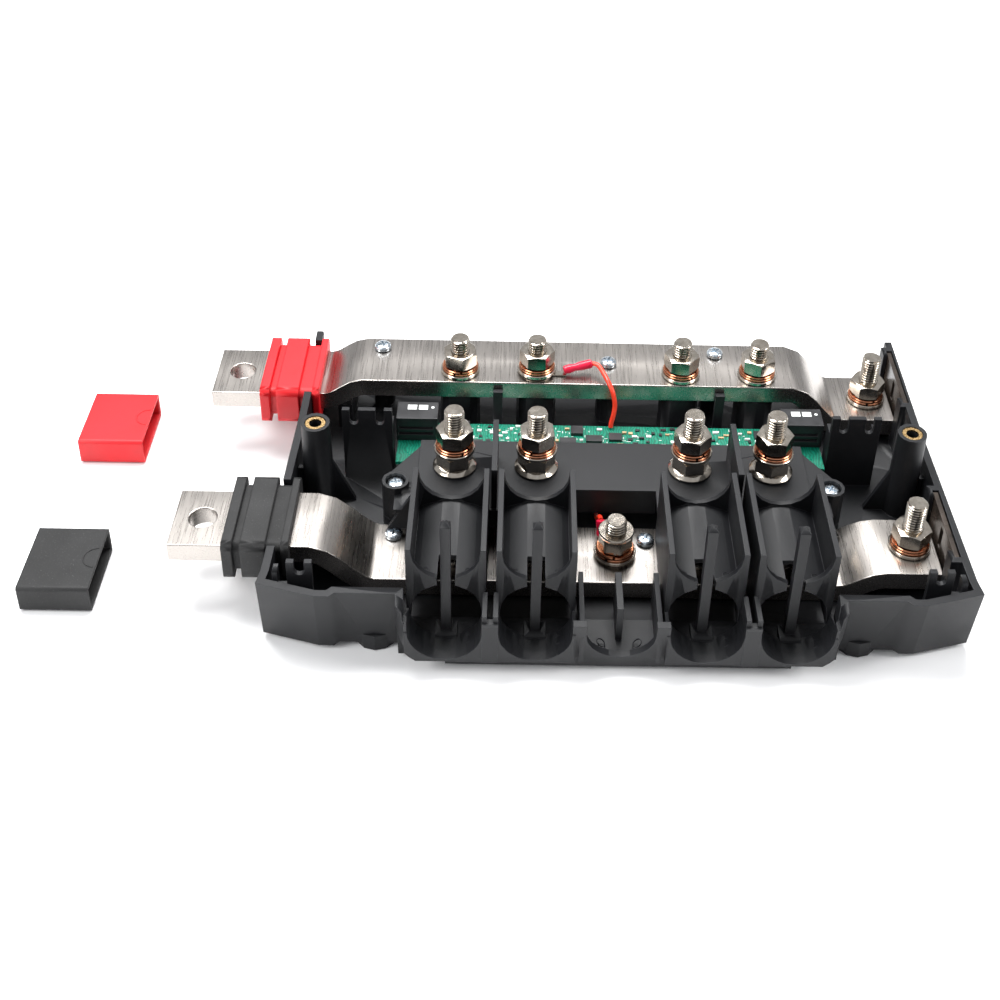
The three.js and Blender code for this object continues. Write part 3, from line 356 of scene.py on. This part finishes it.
# A stud: its thread, with a chamfered tip, and the round head under the bar or in the carrier.
thread = {"radius": 4.0, "pitch": 1.25, "depth": 0.9, "sides": 40, "stepsPerTurn": 8, "tip": 0.7,
          "tipSlope": 0.7, "crest": 0.2, "flank": 0.6}
studHead = {"radius": 6.0, "lowEdge": 0.4, "topEdge": 0.3, "neck": 0.3, "runOut": 0.2, "thin": 2.4,
            "thick": 4.8}
nutShape = {"flats": 13.0, "bore": 3.45, "mouth": 4.15, "mouthDepth": 0.7, "faceShare": 0.477,
            "slope": 0.5774, "sides": 72}
outputFlange = {"flats": 13.0, "radius": 8.75, "thickness": 1.8, "rim": 0.5, "shoulder": 7.5, "height": 8}
centreFlange = {"flats": 11.6, "radius": 6.95, "thickness": 1.6, "rim": 0.35, "shoulder": 6.5}
collarEdge = {"inset": 0.1, "height": 0.35, "fillet": 0.05, "riser": 0.25}
washerSet = {"plain": 1.6, "bore": 4.25, "radius": 8.2, "seat": 0.05, "soft": 0.25, "sides": 48}
coil = {"bore": 4.3, "lowRadius": 7.6, "highRadius": 7.35, "apart": 0.04, "turn": 0.4, "spring": 0.12,
        "gap": 0.07, "steps": 56, "soft": 0.3}


def threadRings(lowZ, highZ):
    sides, pitch = thread["sides"], thread["pitch"]
    count = int((highZ - lowZ) / pitch * thread["stepsPerTurn"])
    rings = []
    for step in range(count + 1):
        z = lowZ + (highZ - lowZ) * step / count
        limit = thread["radius"] - max(0.0, thread["tip"] - (highZ - z)) * thread["tipSlope"]
        ring = []
        for side in range(sides):
            phase = (z / pitch - side / sides) % 1
            valley = max(0.0, min(1.0, (abs(2 * phase - 1) - thread["crest"]) / thread["flank"]))
            ring.append((min(limit, thread["radius"] - thread["depth"] * valley), z))
        rings.append(ring)
    return rings


def addStud(work, centre, lowZ, highZ, headHeight):
    sides = thread["sides"]
    top = lowZ + headHeight
    wide, lowEdge, topEdge = studHead["radius"], studHead["lowEdge"], studHead["topEdge"]
    rings = [even(wide - lowEdge, lowZ, sides), even(wide, lowZ + lowEdge, sides),
             even(wide, top - topEdge, sides), even(wide - topEdge, top, sides),
             even(thread["radius"] - studHead["neck"], top, sides)]
    ringStack(work, centre, rings + threadRings(top + studHead["runOut"], highZ))


def hexRadius(side, flats):
    across = (2 * math.pi * side / nutShape["sides"]) % (math.pi / 3) - math.pi / 6
    return flats / 2 / math.cos(across)


def hexRing(z, direction, flats):
    ring = []
    for side in range(nutShape["sides"]):
        radius = hexRadius(side, flats)
        drop = max(0.0, radius - flats * nutShape["faceShare"]) * nutShape["slope"]
        ring.append((radius, z + direction * drop))
    return ring


def addHexNut(work, centre, lowZ, highZ, turn):
    sides, flats = nutShape["sides"], nutShape["flats"]
    bore, mouth, deep = nutShape["bore"], nutShape["mouth"], nutShape["mouthDepth"]
    face = flats * nutShape["faceShare"]
    rings = [even(bore, lowZ + deep, sides), even(mouth, lowZ, sides), even(face, lowZ, sides),
             hexRing(lowZ, 1, flats), hexRing(highZ, -1, flats), even(face, highZ, sides),
             even(mouth, highZ, sides), even(bore, highZ - deep, sides)]
    ringStack(work, centre, rings, turn + math.pi / 6, loop=True)


# A nut with its collar below, or above when it was run on upside down.
def addFlangeNut(work, centre, lowZ, highZ, turn, collarUp, shape):
    sides, flats = nutShape["sides"], shape["flats"]
    bore, mouth, deep = nutShape["bore"], nutShape["mouth"], nutShape["mouthDepth"]
    wide, thick, rim, shoulder = shape["radius"], shape["thickness"], shape["rim"], shape["shoulder"]
    height = highZ - lowZ
    profile = [even(bore, deep, sides), even(mouth, 0, sides), even(wide - rim, 0, sides),
               even(wide, rim, sides),
               even(wide - collarEdge["inset"], rim + collarEdge["height"], sides),
               even(shoulder + collarEdge["fillet"], thick, sides)]
    riserTop = thick + collarEdge["riser"]
    profile.append([(min(hexRadius(side, flats), shoulder), riserTop) for side in range(sides)])
    profile += [hexRing(height, -1, flats), even(flats * nutShape["faceShare"], height, sides),
                even(mouth, height, sides), even(bore, height - deep, sides)]
    if collarUp:
        profile = [[(radius, height - z) for radius, z in ring] for ring in reversed(profile)]
    rings = [[(radius, lowZ + z) for radius, z in ring] for ring in profile]
    ringStack(work, centre, rings, turn + math.pi / 6, loop=True)


def addWasher(work, centre, inner, outer, lowZ, highZ, soft=washerSet["soft"]):
    sides = washerSet["sides"]
    rings = [even(inner, lowZ, sides), even(outer - soft, lowZ, sides), even(outer, lowZ + soft, sides),
             even(outer, highZ - soft, sides), even(outer - soft, highZ, sides), even(inner, highZ, sides)]
    ringStack(work, centre, rings, loop=True)


# One turn of square wire, sprung a little so that its ends miss each other.
def addSplitWasher(work, centre, outer, lowZ, highZ, start):
    inner, spring, gap, steps = coil["bore"], coil["spring"], coil["gap"], coil["steps"]
    sections = []
    thickness = highZ - lowZ - spring
    for step in range(steps + 1):
        share = step / steps
        angle = start + gap + (2 * math.pi - 2 * gap) * share
        base = lowZ + spring * share
        soft = thickness * coil["soft"]
        top = base + thickness
        corners = [(inner, base), (outer - soft, base), (outer, base + soft), (outer, top - soft),
                   (outer - soft, top), (inner, top)]
        sections.append([work.verts.new(((centre[0] + radius * math.cos(angle)) * mm,
                                         (centre[1] + radius * math.sin(angle)) * mm, z * mm))
                         for radius, z in corners])
    for here, after in zip(sections, sections[1:]):
        for corner in range(len(here)):
            following = (corner + 1) % len(here)
            side = work.faces.new((here[corner], here[following], after[following], after[corner]))
            side.material_index = 1
    work.faces.new(sections[0]).material_index = 1
    work.faces.new(list(reversed(sections[-1]))).material_index = 1


# How far each nut was turned and where its split washers open, in radians.
terminals = {
    "fuse_1": {"turn": 0.15, "split": 4.4},
    "fuse_2": {"turn": 0.5, "split": 1.0},
    "fuse_3": {"turn": 0.35, "split": 5.3},
    "fuse_4": {"turn": 0.05, "split": 0.4},
    "output_1": {"turn": 0.42, "split": 5.2, "onCarrier": True},
    "output_2": {"turn": 0.1, "split": 4.0, "onCarrier": True},
    "output_3": {"turn": 0.3, "split": 4.9, "onCarrier": True},
    "output_4": {"turn": 0.5, "split": 3.7, "onCarrier": True},
    "positive_link": {"turn": 0.4, "split": 4.6},
    "negative_link": {"turn": 0.2, "split": 5.5},
    "centre": {"turn": 0.3, "split": 4.2, "flanged": True},
}
carrierNut = {"low": 28.8, "turn": 0.4}

for terminal, settings in terminals.items():
    centre, lowZ, highZ = boxPlace(terminal + "_washers")
    stud, washers, nut = terminal + "_stud", terminal + "_washers", terminal + "_nut"
    turn, split = settings["turn"], settings["split"]
    work = bmesh.new()
    _, studLow, studHigh = boxPlace(stud)
    if settings.get("onCarrier"):
        addStud(work, centre, studLow, studHigh, studHead["thick"])
        nutLow = carrierNut["low"]
        nutHigh = nutLow + outputFlange["height"]
        addFlangeNut(work, centre, nutLow, nutHigh, turn + carrierNut["turn"], False, outputFlange)
    else:
        addStud(work, centre, studLow, studHigh, studHead["thin"])
    smoothFaces(addPiece(terminal + "StudThreaded", closeMesh(work, terminal + "Stud"), bodyOf[stud],
                         [nickelPlate], [stud]))
    work = bmesh.new()
    plainTop = lowZ + washerSet["plain"]
    middleZ = (plainTop + highZ) / 2
    apart = coil["apart"]
    addWasher(work, centre, washerSet["bore"], washerSet["radius"], lowZ, plainTop - washerSet["seat"])
    addSplitWasher(work, centre, coil["lowRadius"], plainTop + apart, middleZ - apart, split)
    addSplitWasher(work, centre, coil["highRadius"], middleZ + apart, highZ, split + coil["turn"])
    smoothFaces(addPiece(terminal + "WasherSet", closeMesh(work, terminal + "Washers"), bodyOf[washers],
                         [nickelPlate, copperPlate], [washers]))
    work = bmesh.new()
    _, nutLow, nutHigh = boxPlace(nut)
    if settings.get("flanged"):
        addFlangeNut(work, centre, nutLow, nutHigh, turn, True, centreFlange)
    else:
        addHexNut(work, centre, nutLow, nutHigh, turn)
    smoothFaces(addPiece(terminal + "NutChamfered", closeMesh(work, terminal + "Nut"), bodyOf[nut],
                         [nickelPlate], [nut]))

returns = {"y": -31.5, "washerLow": 13.1, "washerHigh": 14.65, "nutLow": 14.7, "nutHigh": 22.7, "turn": 0.3}
for number in range(1, 5):
    node = f"return_{number}_stud"
    low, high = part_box(node)
    centre = ((low.x + high.x) / 2 / mm, returns["y"])
    work = bmesh.new()
    addStud(work, centre, low.z / mm, high.z / mm, studHead["thin"])
    addWasher(work, centre, washerSet["bore"], washerSet["radius"], returns["washerLow"],
              returns["washerHigh"])
    addFlangeNut(work, centre, returns["nutLow"], returns["nutHigh"], number * returns["turn"], False,
                 outputFlange)
    smoothFaces(addPiece(f"return{number}StudThreaded", closeMesh(work, node), bodyOf[node], [nickelPlate],
                         [node]))
print("studs, washers and nuts made")

# A domed cross-recess screw. Its dome is a list of radius and height above the seat.
screw = {"headHeight": 2.4, "shankRadius": 1.95, "tipInset": 0.55, "tipHeight": 1.2, "crossLength": 4.4,
         "crossWidth": 0.8, "crossDepth": 1.3, "sides": 40, "firstTurn": 0.35, "turnStep": 0.9,
         "dome": [(3.3, 0.0), (3.5, 0.25), (3.5, 1.1), (3.3, 1.6), (2.85, 2.05), (2.2, 2.3), (1.4, 2.4)]}


def addScrew(node, name, turn):
    centre, lowZ, highZ = boxPlace(node)
    sides = screw["sides"]
    under = highZ - screw["headHeight"]
    shank = screw["shankRadius"]
    rings = [even(shank - screw["tipInset"], lowZ, sides), even(shank, lowZ + screw["tipHeight"], sides),
             even(shank, under, sides)]
    rings += [even(radius, under + z, sides) for radius, z in screw["dome"]]
    work = bmesh.new()
    ringStack(work, centre, rings)
    piece = addPiece(name, closeMesh(work, name), bodyOf[node], [zincPlate], [node])
    long, narrow = screw["crossLength"], screw["crossWidth"]
    for length, width in ((long, narrow), (narrow, long)):
        cutter = bmesh.new()
        made = bmesh.ops.create_cube(cutter, size=1)["verts"]
        bmesh.ops.scale(cutter, vec=(length * mm, width * mm, 2 * screw["crossDepth"] * mm), verts=made)
        bmesh.ops.rotate(cutter, matrix=Matrix.Rotation(turn, 3, "Z"), verts=made)
        bmesh.ops.translate(cutter, vec=(centre[0] * mm, centre[1] * mm, highZ * mm), verts=made)
        tool = bpy.data.objects.new("recessTool", closeMesh(cutter, "recessTool"))
        bpy.context.scene.collection.objects.link(tool)
        recess = piece.modifiers.new("recess", "BOOLEAN")
        recess.object, recess.operation, recess.solver = tool, "DIFFERENCE", "EXACT"
        bpy.context.view_layer.update()
        cut = bpy.data.meshes.new_from_object(piece.evaluated_get(bpy.context.evaluated_depsgraph_get()))
        piece.modifiers.remove(recess)
        piece.data = cut
        bpy.data.objects.remove(tool)
    return smoothFaces(piece)


screwNodes = ["positive_bar_screw_1", "positive_bar_screw_2", "positive_bar_screw_3", "negative_bar_screw_1",
              "negative_bar_screw_2", "carrier_screw_left", "carrier_screw_right"]
for index, node in enumerate(screwNodes):
    addScrew(node, node + "Recessed", screw["firstTurn"] + index * screw["turnStep"])
print("screws made")

# Piece name, material, slot, how wide its edges are broken, and in how many steps.
softEdges = {
    "base_tray": ("trayShell", blackMoulding, "black_plastic", 0, 1),
    "terminal_carrier": ("carrierShell", blackMoulding, "black_plastic", 0, 1),
    "positive_busbar": ("positiveBarBrushed", tinnedBar, "tinned_copper", 0.45, 3),
    "negative_busbar": ("negativeBarBrushed", tinnedBar, "tinned_copper", 0.45, 3),
    "positive_grommet": ("positiveGrommetSoft", redRubber, "red_rubber", 0.6, 3),
    "negative_grommet": ("negativeGrommetSoft", blackRubber, "black_rubber", 0.6, 3),
    "positive_end_cap": ("positiveCapSoft", redRubber, "red_rubber", 0.6, 3),
    "negative_end_cap": ("negativeCapSoft", blackRubber, "black_rubber", 0.6, 3),
    "data_connector_left": ("leftConnectorShell", connectorMoulding, "connector_plastic", 0.25, 2),
    "data_connector_right": ("rightConnectorShell", connectorMoulding, "connector_plastic", 0.25, 2),
    "blank_plate_rear": ("rearGatePlate", gatePlate, "gate_plastic", 0.25, 2),
    "blank_plate_front": ("frontGatePlate", gatePlate, "gate_plastic", 0.25, 2),
    "circuit_board": ("boardLaminate", boardGreen, "board_laminate", 0.1, 1),
}
sharpAngles = {"broken": 32, "plain": 20}
for node, (name, material, slotName, edge, segments) in softEdges.items():
    sharpAngle = sharpAngles["broken" if edge else "plain"]
    softenedCopy(node, name, material, edge, segments, sharpAngle)
print("shells, bars and rubber made")


def addBlock(work, x0, x1, y0, y1, z0, z1, materialIndex=0):
    outline = ((x0, y0), (x1, y0), (x1, y1), (x0, y1))
    corners = [work.verts.new((x * mm, y * mm, z * mm)) for z in (z0, z1) for x, y in outline]
    for face in ((3, 2, 1, 0), (4, 5, 6, 7), (0, 1, 5, 4), (1, 2, 6, 5), (2, 3, 7, 6), (3, 0, 4, 7)):
        work.faces.new([corners[i] for i in face]).material_index = materialIndex


insert = {"x": 118.6, "y": 3, "outer": 4.1, "inner": 2.5, "top": 47.6, "depth": 0.7, "soft": 0.2}
for side, name in ((-1, "leftPostInsert"), (1, "rightPostInsert")):
    work = bmesh.new()
    addWasher(work, (side * insert["x"], insert["y"]), insert["inner"], insert["outer"],
              insert["top"] - insert["depth"], insert["top"], insert["soft"])
    smoothFaces(addPiece(name, closeMesh(work, name), bodyOf["base_tray"], [brassInsertMetal]))


# A smooth path through the given points.
def throughPoints(points, perSpan=8):
    path = [Vector(p) for p in points]
    extended = [path[0] * 2 - path[1]] + path + [path[-1] * 2 - path[-2]]
    result = []
    for i in range(1, len(extended) - 2):
        a, b, c, d = extended[i - 1:i + 3]
        for step in range(perSpan):
            t = step / perSpan
            result.append(0.5 * ((2 * b) + (c - a) * t + (2 * a - 5 * b + 4 * c - d) * t * t
                                 + (3 * b - a - 3 * c + d) * t ** 3))
    return result + [path[-1]]


def addTube(work, points, radii, sides=16, materialIndex=0):
    across = None
    rows = []
    for index, point in enumerate(points):
        ahead = points[min(index + 1, len(points) - 1)] - points[max(index - 1, 0)]
        ahead.normalize()
        if across is None:
            across = ahead.orthogonal().normalized()
        across = (across - ahead * across.dot(ahead)).normalized()
        other = ahead.cross(across)
        radius = radii[index] if isinstance(radii, list) else radii
        angles = [2 * math.pi * s / sides for s in range(sides)]
        rim = [point + across * math.cos(a) * radius + other * math.sin(a) * radius for a in angles]
        rows.append([work.verts.new(place * mm) for place in rim])
    for here, after in zip(rows, rows[1:]):
        for s in range(sides):
            n = (s + 1) % sides
            work.faces.new((here[s], here[n], after[n], after[s])).material_index = materialIndex
    work.faces.new(list(reversed(rows[0]))).material_index = materialIndex
    work.faces.new(rows[-1]).material_index = materialIndex


pinMark = {"width": 0.28, "proud": 0.1, "sunk": 0.3, "sides": 28}


# A thin raised ring lying on a surface, as an ejector pin leaves.
def addPinMark(work, place, normal, radius):
    proud, sunk, sides = pinMark["proud"], pinMark["sunk"], pinMark["sides"]
    inner = radius - pinMark["width"]
    up = Vector(normal).normalized()
    across = up.orthogonal().normalized()
    other = up.cross(across)
    section = [(radius, -sunk), (radius, proud), (inner, proud), (inner, -sunk)]
    rows = []
    for side in range(sides):
        angle = 2 * math.pi * side / sides
        outward = across * math.cos(angle) + other * math.sin(angle)
        rows.append([work.verts.new((Vector(place) + outward * out + up * rise) * mm)
                     for out, rise in section])
    for here, after in zip(rows, rows[1:] + rows[:1]):
        for corner in range(len(section)):
            following = (corner + 1) % len(section)
            work.faces.new((here[corner], after[corner], after[following], here[following]))


# A curved floor of a given radius: where it lies at an offset from its middle, and which way it faces.
def onCurve(middleX, axisZ, radius, offset, y, hollow):
    drop = math.sqrt(radius * radius - offset * offset)
    if hollow:
        return (middleX + offset, y, axisZ - drop), (-offset, 0, drop)
    return (middleX + offset, y, axisZ + drop), (offset, 0, drop)


bayX = [-63.6, -30.9, 30.9, 63.6]
cupMarks = {"offset": 8.4, "y": -73.5, "axisZ": 21.4, "curve": 13.4, "radius": 2.0, "hollow": True}
centreMarks = {"offset": 6.6, "y": -73.5, "axisZ": 20.6, "curve": 12.6, "radius": 1.9, "hollow": True}
troughMarks = {"offset": 8.2, "y": -60.6, "axisZ": 7.0, "curve": 26.0, "radius": 1.9, "hollow": False}


def addMark(work, middleX, side, marks):
    place, normal = onCurve(middleX, marks["axisZ"], marks["curve"], side * marks["offset"], marks["y"],
                            marks["hollow"])
    addPinMark(work, place, normal, marks["radius"])


work = bmesh.new()
for x in bayX:
    addMark(work, x, 1, cupMarks)
for side in (-1, 1):
    addMark(work, 0, side, centreMarks)
addPiece("trayPinMarks", closeMesh(work, "trayPinMarks"), bodyOf["base_tray"], [blackMoulding])
work = bmesh.new()
for x in bayX:
    for side in (-1, 1):
        addMark(work, x, side, troughMarks)
addPiece("carrierPinMarks", closeMesh(work, "carrierPinMarks"), bodyOf["terminal_carrier"], [blackMoulding])

# A half-moon raised at the open end of each cap, for a thumb.
thumbMark = {"radius": 5.2, "width": 0.5, "proud": 0.22, "sunk": 0.1, "steps": 24, "fromEnd": 0.8}
thumbMarks = {
    "positive_end_cap": ("positiveCapThumbMark", redRubber, "red_rubber"),
    "negative_end_cap": ("negativeCapThumbMark", blackRubber, "black_rubber"),
}
for node, (name, material, slotName) in thumbMarks.items():
    (middleX, middleY), _, top = boxPlace(node)
    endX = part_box(node)[1].x / mm - thumbMark["fromEnd"]
    outer = thumbMark["radius"]
    inner = outer - thumbMark["width"]
    lowZ, highZ = top - thumbMark["sunk"], top + thumbMark["proud"]
    section = [(outer, lowZ), (outer, highZ), (inner, highZ), (inner, lowZ)]
    work = bmesh.new()
    rows = []
    for step in range(thumbMark["steps"] + 1):
        angle = math.pi / 2 + math.pi * step / thumbMark["steps"]
        rows.append([work.verts.new(((endX + radius * math.cos(angle)) * mm,
                                     (middleY + radius * math.sin(angle)) * mm, z * mm))
                     for radius, z in section])
    for here, after in zip(rows, rows[1:]):
        for corner in range(4):
            following = (corner + 1) % 4
            work.faces.new((here[corner], after[corner], after[following], here[following]))
    work.faces.new(rows[0])
    work.faces.new(list(reversed(rows[-1])))
    addPiece(name, closeMesh(work, name), bodyOf[node], [material])
print("moulding marks made")

# Each lead's ring, its flat tail, the sleeve's two ends and the wire's route.
leads = {
    "positive_sense_lead": {
        "name": "positiveLeadCrimped", "ring": (-30.9, 53.5, 36.8),
        "crimp": [(-19.6, 51.2, 39.1), (-7.3, 53.2, 41.6)],
        "tongue": (-24.2, -18.4, 49.9, 52.9),
        "route": [(-7.3, 53.2, 41.6), (-4.6, 51.4, 41.6), (-2.4, 47.6, 40.2), (-0.6, 43.6, 38.9),
                  (0.9, 40.9, 36.8), (1.9, 39.4, 33.6), (2.3, 38.4, 30.4), (1.9, 37.2, 26.6),
                  (1.1, 36.2, 23.2), (0.9, 35.6, 21.2)]},
    "negative_sense_lead": {
        "name": "negativeLeadCrimped", "ring": (0, -31.5, 13.1),
        "crimp": [(-4.9, -22.7, 14.1), (-5.2, -19.6, 19.8)],
        "tongue": (-6.2, -2.8, -26, -21.6),
        "route": [(-5.2, -19.6, 19.8), (-5.6, -16.6, 18.6), (-6.2, -12, 13.6), (-6.6, -3, 12), (-6.6, 6, 12),
                  (-6.2, 14, 12.6), (-5.4, 20.4, 15.4), (-5, 23, 18.2)]},
}
lug = {"bore": 4.25, "radius": 6.9, "thickness": 0.8, "soft": 0.15, "skin": 0.02, "wireRadius": 1.0}
# The sleeve's radius at each share of its length.
sleeve = [(0, 1.1), (0.03, 1.75), (0.2, 1.95), (0.42, 1.55), (0.6, 1.95), (0.9, 2.0), (0.97, 1.85), (1, 1.3)]
for node, settings in leads.items():
    work = bmesh.new()
    x, y, z = settings["ring"]
    top = z + lug["thickness"]
    addWasher(work, (x, y), lug["bore"], lug["radius"], z, top, lug["soft"])
    addBlock(work, *settings["tongue"], z + lug["skin"], top - lug["skin"])
    start, end = (Vector(p) for p in settings["crimp"])
    addTube(work, [start.lerp(end, share) for share, _ in sleeve], [radius for _, radius in sleeve], 20, 1)
    addTube(work, throughPoints(settings["route"]), lug["wireRadius"], 14, 2)
    smoothFaces(addPiece(settings["name"], closeMesh(work, node), bodyOf[node],
                         [nickelPlate, crimpSleeve, leadInsulation], [node]))
print("leads made")

# Sizes are ranges of width, depth and height. Nothing stands where the leads come down.
board = {"top": 20.5, "front": 17.5, "rear": 35.5, "reach": 68, "leadSpots": [(0.9, 35.6), (-5, 23)],
         "leadClear": 3.5, "tries": 30, "inkMarks": 260, "inkHeight": 0.05, "inkWidth": 0.12,
         "partGap": 0.4, "inkGap": 0.15}
partKinds = [
    {"count": 16, "wide": (4, 7), "deep": (3, 5), "high": (1.0, 1.6), "shades": None},
    {"count": 90, "wide": (1.2, 2.4), "deep": (0.7, 1.4), "high": (0.5, 1.0), "shades": [0, 1, 2]},
]
draw = random.Random(11)
taken = []


def boardSpot():
    while True:
        x = draw.uniform(-board["reach"], board["reach"])
        y = draw.uniform(board["front"], board["rear"])
        if all(math.hypot(x - a, y - b) > board["leadClear"] for a, b in board["leadSpots"]):
            return x, y


def isFree(x, y, w, d, gap):
    return all(abs(x - a) > w + c + gap or abs(y - b) > d + e + gap for a, b, c, e in taken)


def addPart(work, x, y, w, d, height, materialIndex):
    taken.append((x, y, w, d))
    addBlock(work, x - w, x + w, y - d, y + d, board["top"], board["top"] + height, materialIndex)


work = bmesh.new()
for kind in partKinds:
    for _ in range(kind["count"]):
        for _ in range(board["tries"]):
            x, y = boardSpot()
            w, d = draw.uniform(*kind["wide"]) / 2, draw.uniform(*kind["deep"]) / 2
            h = draw.uniform(*kind["high"])
            if isFree(x, y, w, d, board["partGap"]):
                addPart(work, x, y, w, d, h, draw.choice(kind["shades"]) if kind["shades"] else 0)
                break
for _ in range(board["inkMarks"]):
    x, y = boardSpot()
    thin = board["inkWidth"]
    w, d = (draw.uniform(0.3, 1.0), thin) if draw.random() < 0.6 else (thin, draw.uniform(0.3, 0.8))
    if isFree(x, y, w, d, board["inkGap"]):
        addPart(work, x, y, w, d, board["inkHeight"], 2)
addPiece("boardSmallParts", closeMesh(work, "boardSmallParts"), bodyOf["circuit_board"],
         [connectorMoulding, tanCeramic, whiteInk])

label = {"offsets": (-4.2, 0.4), "wide": 3.8, "front": 0.4, "rear": 3.4, "sunk": 0.02, "proud": 0.06,
         "dotX": 6.2, "dotY": 1.9, "dotRadius": 0.7, "dotSides": 16}
labelled = {"data_connector_left": "leftConnectorMarks", "data_connector_right": "rightConnectorMarks"}
for node, name in labelled.items():
    (middleX, middleY), _, top = boxPlace(node)
    lowZ, highZ = top - label["sunk"], top + label["proud"]
    work = bmesh.new()
    for offset in label["offsets"]:
        x = middleX + offset
        addBlock(work, x, x + label["wide"], middleY + label["front"], middleY + label["rear"], lowZ, highZ)
    dot = [even(label["dotRadius"], z, label["dotSides"]) for z in (lowZ, highZ)]
    ringStack(work, (middleX + label["dotX"], middleY + label["dotY"]), dot)
    addPiece(name, closeMesh(work, name), bodyOf[node], [whiteInk])
print("board made")

# The floor lies a little under the feet. Its sizes are in metres.
studio = {"worldColour": (0.96, 0.975, 1.0), "worldStrength": 0.5, "floorReach": 4.0, "floorZ": -0.0004,
          "floorGrain": 3, "floorRoughness": 0.7}
floorMesh = bpy.data.meshes.new("studioFloor")
reach, floorZ = studio["floorReach"], studio["floorZ"]
floorCorners = [(x * reach, y * reach, floorZ) for x, y in ((-1, -1), (1, -1), (1, 1), (-1, 1))]
floorMesh.from_pydata(floorCorners, [], [(0, 1, 2, 3)])
floorPiece = bpy.data.objects.new("studioFloor", floorMesh)
bpy.context.scene.collection.objects.link(floorPiece)
floorMaterial, floorTree, floorShader, floorPlace = startMaterial("paleFloor")
paper = grainOf(floorTree, floorPlace, studio["floorGrain"])
paper = ramp(floorTree, paper, [(0.3, (0.925, 0.925, 0.93)), (0.7, (0.945, 0.945, 0.95))])
floorTree.links.new(paper, floorShader.inputs["Base Color"])
floorShader.inputs["Roughness"].default_value = studio["floorRoughness"]
floorMesh.materials.append(floorMaterial)

world = bpy.data.worlds.new("studioAir")
bpy.context.scene.world = world
world.use_nodes = True
backing = world.node_tree.nodes["Background"]
backing.inputs["Color"].default_value = (*studio["worldColour"], 1)
backing.inputs["Strength"].default_value = studio["worldStrength"]

lamps = {
    "overhead": {"place": (-0.15, 0.35, 1.0), "aim": (-0.02, 0, 0), "size": (0.9, 0.5), "power": 22},
    "left": {"place": (-1.0, -0.5, 0.8), "aim": (0, 0, 0), "size": (0.5, 0.7), "power": 11},
    "right": {"place": (1.0, -0.2, 0.7), "aim": (0, 0, 0), "size": (0.4, 0.6), "power": 8},
}
for name, settings in lamps.items():
    light = bpy.data.lights.new(name + "Softbox", "AREA")
    light.shape, light.size, light.size_y = "RECTANGLE", *settings["size"]
    light.energy = settings["power"]
    lamp = bpy.data.objects.new(name + "Softbox", light)
    bpy.context.scene.collection.objects.link(lamp)
    lamp.location = settings["place"]
    lamp.rotation_euler = (Vector(settings["aim"]) - lamp.location).to_track_quat("-Z", "Y").to_euler()

# Angles in degrees, place in metres.
shot = {"lens": 52.815, "shiftX": -0.05, "shiftY": -0.25, "yaw": 1.485, "pitch": 32.846, "roll": 2.001,
        "place": (-0.04, -0.44697, 0.42177)}
yaw, pitch, roll = (math.radians(shot[key]) for key in ("yaw", "pitch", "roll"))
forward = Vector((math.sin(yaw) * math.cos(pitch), math.cos(yaw) * math.cos(pitch), -math.sin(pitch)))
level = Vector((math.cos(yaw), -math.sin(yaw), 0))
upright = level.cross(forward)
across = level * math.cos(roll) + upright * math.sin(roll)
upward = upright * math.cos(roll) - level * math.sin(roll)
cameraData = bpy.data.cameras.new("shotCamera")
cameraData.sensor_width = 36
cameraData.lens, cameraData.shift_x, cameraData.shift_y = shot["lens"], shot["shiftX"], shot["shiftY"]
camera = bpy.data.objects.new("shotCamera", cameraData)
bpy.context.scene.collection.objects.link(camera)
camera.matrix_world = Matrix((
    (across.x, upward.x, -forward.x, shot["place"][0]),
    (across.y, upward.y, -forward.y, shot["place"][1]),
    (across.z, upward.z, -forward.z, shot["place"][2]),
    (0, 0, 0, 1)))
bpy.context.scene.camera = camera
bpy.context.scene.view_settings.view_transform = "Standard"
print("floor, light and camera set")
